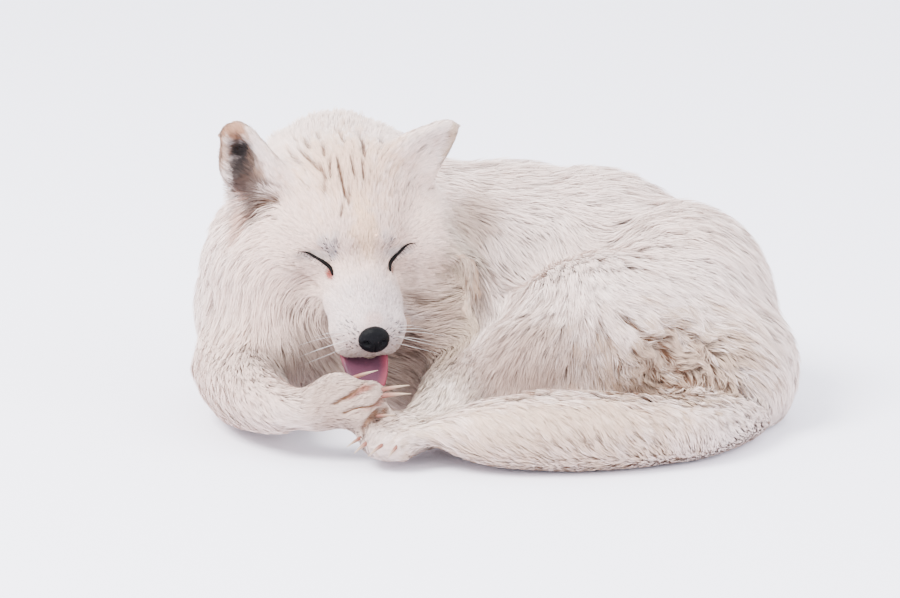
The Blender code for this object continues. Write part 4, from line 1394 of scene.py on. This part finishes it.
# %% [markdown]
# Now one piece of coat after another is grown. A few tufts are guard hairs, longer and higher than
# the rest. Tufts at the edge of a lock lie lower and are painted darker, a painted shade between the
# locks, so that the locks stand apart. Each vertex is told the place of its tuft's root, how far along
# the tuft it is, its tuft's shade and how deep it lies in a parting, for the material to read.

# %% Grow the coat
GUARD_HAIRS = 0.08
# tufts' widths, or share of a tuft's length, to a lock, and the least in metres
FINE_LOCK, FINE_LEAST = 4.5, 1.2 * MM
LARGE_LOCK, LARGE_LEAST = 0.24, 2.5 * MM
MOST_TRIANGLES = 198000


def ribbons(name, corners, weights, rows):
    count, shares = len(corners), np.linspace(0, 1, rows)
    roots, fact = blend(outer, corners, weights), blend(facts, corners, weights)
    locks = fact[:, 3]
    fine = leaders(roots, np.maximum(fact[:, 2] * MM * FINE_LOCK, FINE_LEAST))
    lock_size = np.maximum(fact[:, 1] * LARGE_LOCK * MM, LARGE_LEAST)
    large = leaders(roots, lock_size)
    edge = np.clip(np.linalg.norm(roots - roots[large], axis=1) / (lock_size * 0.75), 0, 1) ** 2 * locks
    guard = random.random(count) < GUARD_HAIRS
    reach = 0.72 + 0.28 * random.random(count) + 0.12 * guard
    rise = (0.72 + 0.30 * random.random(count)) * (0.85 + 0.15 * random.random(count)[large]) + 0.08 * guard
    rise *= 1 - 0.30 * edge
    routes = (blend(field, corners, weights) for field in (outside, inside, upright))
    spine, normal, sunk = raised(*routes, reach, rise, shares)
    spine = gathered(spine, fine, 0.55 * np.ones(count), 1.2, shares)
    spine = gathered(spine, large, locks, 1.5, shares)
    points, shading = bladed(spine, normal, fact, shares)
    # a random tone for each tuft and its locks, then painted shade at the edges of the locks
    shade = 0.5 * random.random(count) + 0.2 * random.random(count)[fine] + 0.3 * random.random(count)[large]
    # painted shade: tufts at the edge of a lock are darker
    shade -= 0.55 * edge
    mesh = mesh_of_blades(name, points, shading, blend(skin_uv, corners, weights), shares)
    per = points.shape[1]
    set_attribute(mesh, "place", np.repeat(roots, per, axis=0))
    set_attribute(mesh, "along", np.tile(both_edges(shares[None])[0], count))
    set_attribute(mesh, "shade", np.repeat(shade, per))
    set_attribute(mesh, "parting", both_edges(sunk).ravel())
    piece = bpy.data.objects.new(name, mesh)
    bpy.context.scene.collection.objects.link(piece)
    mesh.materials.append(fur_finish)
    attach(piece, "root")
    print(name, count, "tufts,", len(mesh.polygons), "triangles")
    return len(mesh.polygons)


total = 0
for name, (_, density, rows) in PIECES.items():
    corners, weights = scatter(belongs[name] * cover, density)
    most = MOST_TRIANGLES // (2 * rows - 3)
    for start in range(0, len(corners), most):
        label = name if start == 0 else f"{name}_{start // most + 1}"
        total += ribbons(label, corners[start : start + most], weights[start : start + most], rows)
print("the coat has", total, "triangles")


# %% [markdown]
# ## The rims of the closed lids
#
# A closed eye shows as a dark, curved line: the two bare rims pressed together, thickest towards the
# nose. A painted line would look flat from the side. So each is drawn as a curve laid on the face,
# given a round section that tapers at both ends, and turned into a mesh.

# %% Lay a line on the face
# places across and up in the head's frame, and the thickness there, from the outer corner inwards
LID_LINE = [
    (38, 10.4, 0.12), (34.5, 10.7, 0.35), (31, 10.4, 0.6), (28, 9.6, 1.0), (25.5, 9.3, 0.85),
    (22.5, 8.2, 1.2), (20, 6.9, 1.3), (18.2, 5.5, 1.15), (18.2, 3.9, 0.6),
]


def on_surface(across, up, start=-140):
    """The point of the surface that lies behind a place on the front of the head, and its normal."""
    return outer_tree.ray_cast(HEAD @ Vector((across, start, up)), head_turn @ Vector((0, 1, 0)))[:2]


print("a lid line has", len(LID_LINE), "places")


# %% [markdown]
# Rims, lashes, whiskers and bristles are all thin tubes with a radius that changes along them. A
# curve with a bevel makes one from a few points. Once it is a mesh, its doubled points at the caps
# are merged, and its normals are made to point outwards. Their finishes are plain, because nothing
# so thin shows a pattern.

# %% A tube that tapers
def smooth_tube(name, points, radii, finish, roundness):
    """A tube along the points, with its own radius in millimetres at each."""
    curve = bpy.data.curves.new(name, "CURVE")
    curve.dimensions = "3D"
    curve.bevel_depth = 1
    curve.bevel_resolution = roundness
    curve.use_fill_caps = True
    curve.resolution_u = 5
    spline = curve.splines.new("NURBS")
    spline.points.add(len(points) - 1)
    for spot, place, radius in zip(spline.points, points, radii):
        spot.co = (*place, 1)
        spot.radius = radius * MM
    spline.use_endpoint_u = True
    spline.order_u = 3
    line = bpy.data.objects.new(name, curve)
    bpy.context.scene.collection.objects.link(line)
    select_only(line)
    bpy.ops.object.convert(target="MESH")
    line = bpy.context.object
    line.data.materials.append(finish)
    bpy.ops.object.mode_set(mode="EDIT")
    bpy.ops.mesh.select_all(action="SELECT")
    bpy.ops.mesh.remove_doubles(threshold=DOUBLED / 10)
    bpy.ops.mesh.normals_make_consistent(inside=False)
    bpy.ops.object.mode_set(mode="OBJECT")
    bpy.ops.object.shade_smooth()
    return line


def plain_material(name, colour, roughness, specular):
    """For hair and rims too thin to show a pattern."""
    finish, _, shader = new_material(name, roughness, specular)
    shader.inputs["Base Color"].default_value = (*colour, 1)
    return finish


lid_finish = plain_material("lid rim", (0.003, 0.0022, 0.002), 0.6, 0.06)
lash_finish = plain_material("lash", (0.05, 0.04, 0.04), 0.5, 0.2)
print("tubes are ready, and the finishes", lid_finish.name, "and", lash_finish.name)


# %% [markdown]
# A few short lashes stand along the rim and point down and outwards. They are tubes of the same kind,
# joined to it. The two eyes mirror each other only roughly, as each is laid on its own side of the
# face.

# %% Model the rims and lashes
LASHES, LASH_LENGTH, LASH_RADII = 13, 3.6 * MM, (0.22, 0.16, 0.03)
# how far along the line the first lash stands, and how far before its end the last one
FIRST_LASH, LAST_LASH = 0.3, 1.6
for name, side in (("eye_left", 1), ("eye_right", -1)):
    spots = [on_surface(across * side, up) for across, up, _ in LID_LINE]
    points = [place + normal * 0.5 * MM for place, normal in spots]
    radii = [radius for _, _, radius in LID_LINE]
    rim = smooth_tube(name.replace("eye", "lid_line"), points, radii, lid_finish, 3)
    lashes = []
    for step in np.linspace(FIRST_LASH, len(LID_LINE) - LAST_LASH, LASHES):
        low = int(step)
        place = points[low].lerp(points[low + 1], step - low)
        normal = spots[low][1]
        down = head_turn @ Vector((0.5 * side, -0.45, -0.75))
        length = LASH_LENGTH * (0.7 + 0.5 * random.random())
        middle = place + (normal * 0.5 + down * 0.45) * length
        end = place + (normal * 0.55 + down * 0.95) * length
        lashes.append(smooth_tube("lash", [place, middle, end], LASH_RADII, lash_finish, 0))
    select_only(rim, *lashes)
    bpy.ops.object.join()
    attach(rim, "root")
    print(rim.name, "with", len(lashes), "lashes,", len(rim.data.polygons), "faces")


# %% [markdown]
# ## Nose
#
# The nose pad is bare, black and finely pebbled. It starts as the solid's own shape, smoothed, and
# gets its nostrils, the slits at their sides and the groove down the middle by pressing in, with the
# tool that shaped the face. The pebbles are too small to model and are a bump of Voronoi cells.

# %% Model the nose
# centre in the head's frame, radii, millimetres pressed in, tilt, on both sides
NOSE_FORMS = [
    ((5.2, -110.5, -12.0), (2.6, 7, 2.3), 3.2, 25, True),
    ((8.6, -106.0, -14.4), (3.4, 5, 1.0), 1.5, 20, True),
    ((0, -112, -16.5), (0.9, 6, 6.0), 1.1, 0, False),
    ((0, -110, -5.0), (7, 6, 3), -0.6, 0, False),
    ((4, -106, -13), (16, 14, 14), -0.7, 0, False),
]


def smoothed_copy(node, name, finish, levels):
    piece = copy_of(node)
    piece.name = name
    piece.data.materials.clear()
    piece.data.materials.append(finish)
    apply_modifier(piece, "SUBSURF", levels=levels, render_levels=levels)
    bpy.ops.object.shade_smooth()
    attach(piece, "root")
    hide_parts(node)
    return piece


nose_finish, tree, shader = new_material("nose leather", 0.45, 0.07)
shader.inputs["Base Color"].default_value = (0.0022, 0.0022, 0.003, 1)
here = join(tree, "TexCoord").outputs["Object"]
pebbles = join(tree, "TexVoronoi", here, None, 1500.0).outputs["Distance"]
bump = join(tree, "Bump", 0.5, 0.0003, None, pebbles)
tree.links.new(bump.outputs[0], shader.inputs["Normal"])
nose = smoothed_copy("nose", "nose_pad", nose_finish, 3)
shape = vertex_array(nose.data)
for centre, radii, deep, tilt, both in NOSE_FORMS:
    for side in (1, -1) if both else (1,):
        place = (centre[0] * side, centre[1], centre[2])
        shape = swell(shape, normal_array(nose.data), place, radii, -deep, tilt * side)
set_vertices(nose.data, shape)
print("nose:", len(nose.data.polygons), "faces")


# %% [markdown]
# ## Tongue
#
# The tongue comes out under the upper lip and laps over the raised paw. It is smoothed from its
# solid, whose curve already follows the paw, and made a little fuller down the middle. It is redder
# at its edges than in the middle, and small soft bumps all over it catch the light.

# %% Model the tongue
tongue_finish, tree, shader = new_material("wet tongue", 0.40, 0.14)
spot = join(tree, "TexCoord").outputs["Object"]
middle = Vector(at("tongue", 0.5, 0.35, 0.5))
away = distance_in(tree, spot, (middle, Vector((13, 40, 16)) * MM, None), "middle of the tongue")
edge = join(tree, "MapRange", away, 0.75, 1.25, 0.0, 1.0, interpolation_type="SMOOTHSTEP").outputs[0]
colour = join(tree, "MixRGB", edge, (0.072, 0.026, 0.042, 1), (0.205, 0.040, 0.060, 1)).outputs[0]
tree.links.new(colour, shader.inputs["Base Color"])
papillae = join(tree, "TexVoronoi", spot, None, 900.0).outputs["Distance"]
bump = join(tree, "Bump", 0.35, 0.0003, None, papillae)
tree.links.new(bump.outputs[0], shader.inputs["Normal"])
tongue = smoothed_copy("tongue", "tongue_soft", tongue_finish, 2)
shape = vertex_array(tongue.data)
midline = [at("tongue", 0.5, 0.0, 1.0), at("tongue", 0.55, 0.0, 0.5), at("tongue", 0.6, 0.0, 0.0)]
near = distance_to_line(shape, midline) / (6 * MM)
shape += normal_array(tongue.data) * (0.7 * MM * np.clip(1 - near**2, 0, 1) ** 2)[:, None]
set_vertices(tongue.data, shape)
print("tongue:", len(tongue.data.polygons), "faces")


# %% [markdown]
# ## Claws
#
# The claws are long, pale horn, a little curved, thicker and pinker at the root. All are one shape, so
# it is modelled once: a cone of unit length on +Z, cut into rings and swelled in the middle.

# %% Model one claw
CLAW_SIDES, CLAW_RINGS, CLAW_POINT, CLAW_SWELL = 10, 7, 0.12, 0.35
claw_finish, tree, shader = new_material("claw horn", 0.35, 0.4)
along = join(tree, "Attribute", attribute_name="reach").outputs["Fac"]
paler = join(tree, "MapRange", along, 0.25, 0.75, 0.0, 1.0).outputs[0]
colour = join(tree, "MixRGB", paler, (0.22, 0.085, 0.06, 1), (0.39, 0.28, 0.20, 1)).outputs[0]
tree.links.new(colour, shader.inputs["Base Color"])

bpy.ops.object.select_all(action="DESELECT")
bpy.ops.mesh.primitive_cone_add(
    vertices=CLAW_SIDES, radius1=1, radius2=CLAW_POINT, depth=1, location=(0, 0, 0.5)
)
horn = bpy.context.object
bpy.ops.object.transform_apply(location=True)
bpy.ops.object.mode_set(mode="EDIT")
for ring in range(1, CLAW_RINGS):
    bpy.ops.mesh.select_all(action="SELECT")
    bpy.ops.mesh.bisect(plane_co=(0, 0, ring / CLAW_RINGS), plane_no=(0, 0, 1))
bpy.ops.object.mode_set(mode="OBJECT")
horn_shape = vertex_array(horn.data)
horn_shape[:, :2] *= (1 + CLAW_SWELL * np.sin(np.pi * np.clip(horn_shape[:, 2], 0, 1)))[:, None]
horn.data.materials.append(claw_finish)
print("a claw has", len(horn.data.polygons), "faces")


# %% [markdown]
# Every solid claw gives its axis: the end that is far from the paw is the point. A copy of the horn
# is laid along each axis with its root set well into the toe, flatter from side to side than from
# top to bottom, and bent in its own plane.

# %% Lay a claw along its axis
CLAW_BEND = 0.10
ROOT_IN_TOE = 0.25
CLAW_LEAST = 1.2 * MM
CLAW_ACROSS, CLAW_UPRIGHT = 0.62, 0.85


def claw_axis(node, paw):
    """Root, point and radius of a solid claw."""
    solid = vertex_array(nodes[node].data)
    middle = np.array(at(paw, 0.5, 0.5, 0.5))
    from_own = np.linalg.norm(solid - solid.mean(axis=0), axis=1)
    tip = solid[np.argmax(from_own + np.linalg.norm(solid - middle, axis=1))]
    far = np.linalg.norm(solid - tip, axis=1)
    root_ring = solid[far > far.max() * 0.9]
    root = root_ring.mean(axis=0)
    return Vector(root), Vector(tip), float(np.linalg.norm(root_ring - root, axis=1).max())


def claw_along(name, root, tip, radius):
    """A copy of the horn from root to tip."""
    claw = horn.copy()
    claw.name, claw.data = name, horn.data.copy()
    bpy.context.scene.collection.objects.link(claw)
    axis = tip - root
    root = root - axis * ROOT_IN_TOE
    length = axis.length * (1 + ROOT_IN_TOE)
    axis = axis.normalized()
    dorsal = (Vector((0, 0, 1)) - axis * axis.z).normalized()
    x, y, z = horn_shape.T
    bend = CLAW_BEND * length * (z**2 - z)
    radius = max(radius, CLAW_LEAST)
    set_vertices(claw.data, (
        np.array(root)
        + np.outer(x * radius * CLAW_ACROSS, np.array(axis.cross(dorsal)))
        + np.outer(y * radius * CLAW_UPRIGHT - bend, np.array(dorsal))
        + np.outer(z * length, np.array(axis))
    ))
    set_attribute(claw.data, "reach", np.clip(z, 0, 1))
    return claw


root, tip, radius = claw_axis("forepaw_right_claw_1", "forepaw_right")
print("a front claw stands", round((tip - root).length / MM), "mm out of its toe")


# %% [markdown]
# The claws of one paw are joined, because they never part. The horn that they were copied from has
# done its work and is taken away.

# %% Set the claws
for paw in ("forepaw_left", "forepaw_right", "hind_paw_left", "hind_paw_right"):
    solids = [name for name in sorted(nodes) if name.startswith(paw + "_claw")]
    select_only(*[claw_along(name + "_horn", *claw_axis(name, paw)) for name in solids])
    bpy.ops.object.join()
    claws = bpy.context.object
    claws.name = paw + "_claws"
    bpy.ops.object.mode_set(mode="EDIT")
    bpy.ops.mesh.select_all(action="SELECT")
    bpy.ops.mesh.normals_make_consistent(inside=False)
    bpy.ops.object.mode_set(mode="OBJECT")
    bpy.ops.object.shade_smooth()
    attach(claws, "root")
    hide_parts(*solids)
    print(claws.name, len(claws.data.polygons), "faces")
bpy.data.objects.remove(horn)


# %% [markdown]
# ## Whiskers
#
# Fine, pale whiskers sweep back and down from the pads beside the nose. A hair curve would be
# lighter, but a tapered tube is solid and looks the same from every side.

# %% Plant the whiskers
# across and up at the root, length in millimetres
WHISKERS = [(13, -10, 20), (16, -12, 26), (14, -15, 30), (17, -17, 34), (16.5, -21.5, 30), (18, -14, 32)]
whisker_finish = plain_material("whisker", (0.62, 0.58, 0.56), 0.4, 0.3)
hairs = []
for side in (1, -1):
    for across, up, length in WHISKERS:
        root, normal = on_surface(across * side, up)
        away = head_turn @ Vector((side * 0.9, 0.25, -0.12))
        middle = root + (normal * 0.45 + away * 0.35).normalized() * length * 0.5 * MM
        end = middle + (away + Vector((0, 0, -0.35))).normalized() * length * 0.5 * MM
        hairs.append(smooth_tube("whisker", [root, middle, end], (0.10, 0.08, 0.02), whisker_finish, 0))
select_only(*hairs)
bpy.ops.object.join()
whiskers = bpy.context.object
whiskers.name = "whiskers"
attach(whiskers, "root")
print(len(hairs), "whiskers")

# %% [markdown]
# The pads are freckled with short dark bristles, in loose rows, and a few more stand on the brows.
# Each is a stub that lies nearly flat in the coat.

# %% Set the dark bristles
# across and up at the root, on both sides of the muzzle, then on the right and the left brow
PAD_BRISTLES = [
    (12, -6.5), (16, -9), (9, -9.5), (14.5, -12), (11, -13.5), (17.5, -14), (8.2, -15.5),
    (13.5, -16.5), (10, -18.5), (16, -19), (6.8, -21), (12.5, -21),
]
BROW_BRISTLES = [(22.4, 20.5), (19.9, 15), (18.3, 10), (21, 24), (20.8, 17.5), (19, 12.5), (23.3, 17)]
bristle_finish = plain_material("bristle", (0.02, 0.018, 0.018), 0.6, 0.2)
stubs = []
for side in (1, -1):
    for across, up in PAD_BRISTLES + (BROW_BRISTLES if side < 0 else BROW_BRISTLES[:2]):
        root, normal = on_surface(across * side, up)
        away = head_turn @ Vector((side * 0.7, 0.7, 0.1 if up < 0 else 0.6))
        flat = (away - normal * away.dot(normal)).normalized()
        below = root - normal * 0.3 * MM - flat * 0.5 * MM
        route = [below, root + normal * 0.15 * MM, root + (flat * 0.9 + normal * 0.1) * MM]
        stubs.append(smooth_tube("bristle", route, (0.30, 0.30, 0.10), bristle_finish, 0))
select_only(*stubs)
bpy.ops.object.join()
bristles = bpy.context.object
bristles.name = "bristles"
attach(bristles, "root")
print(len(stubs), "bristles")
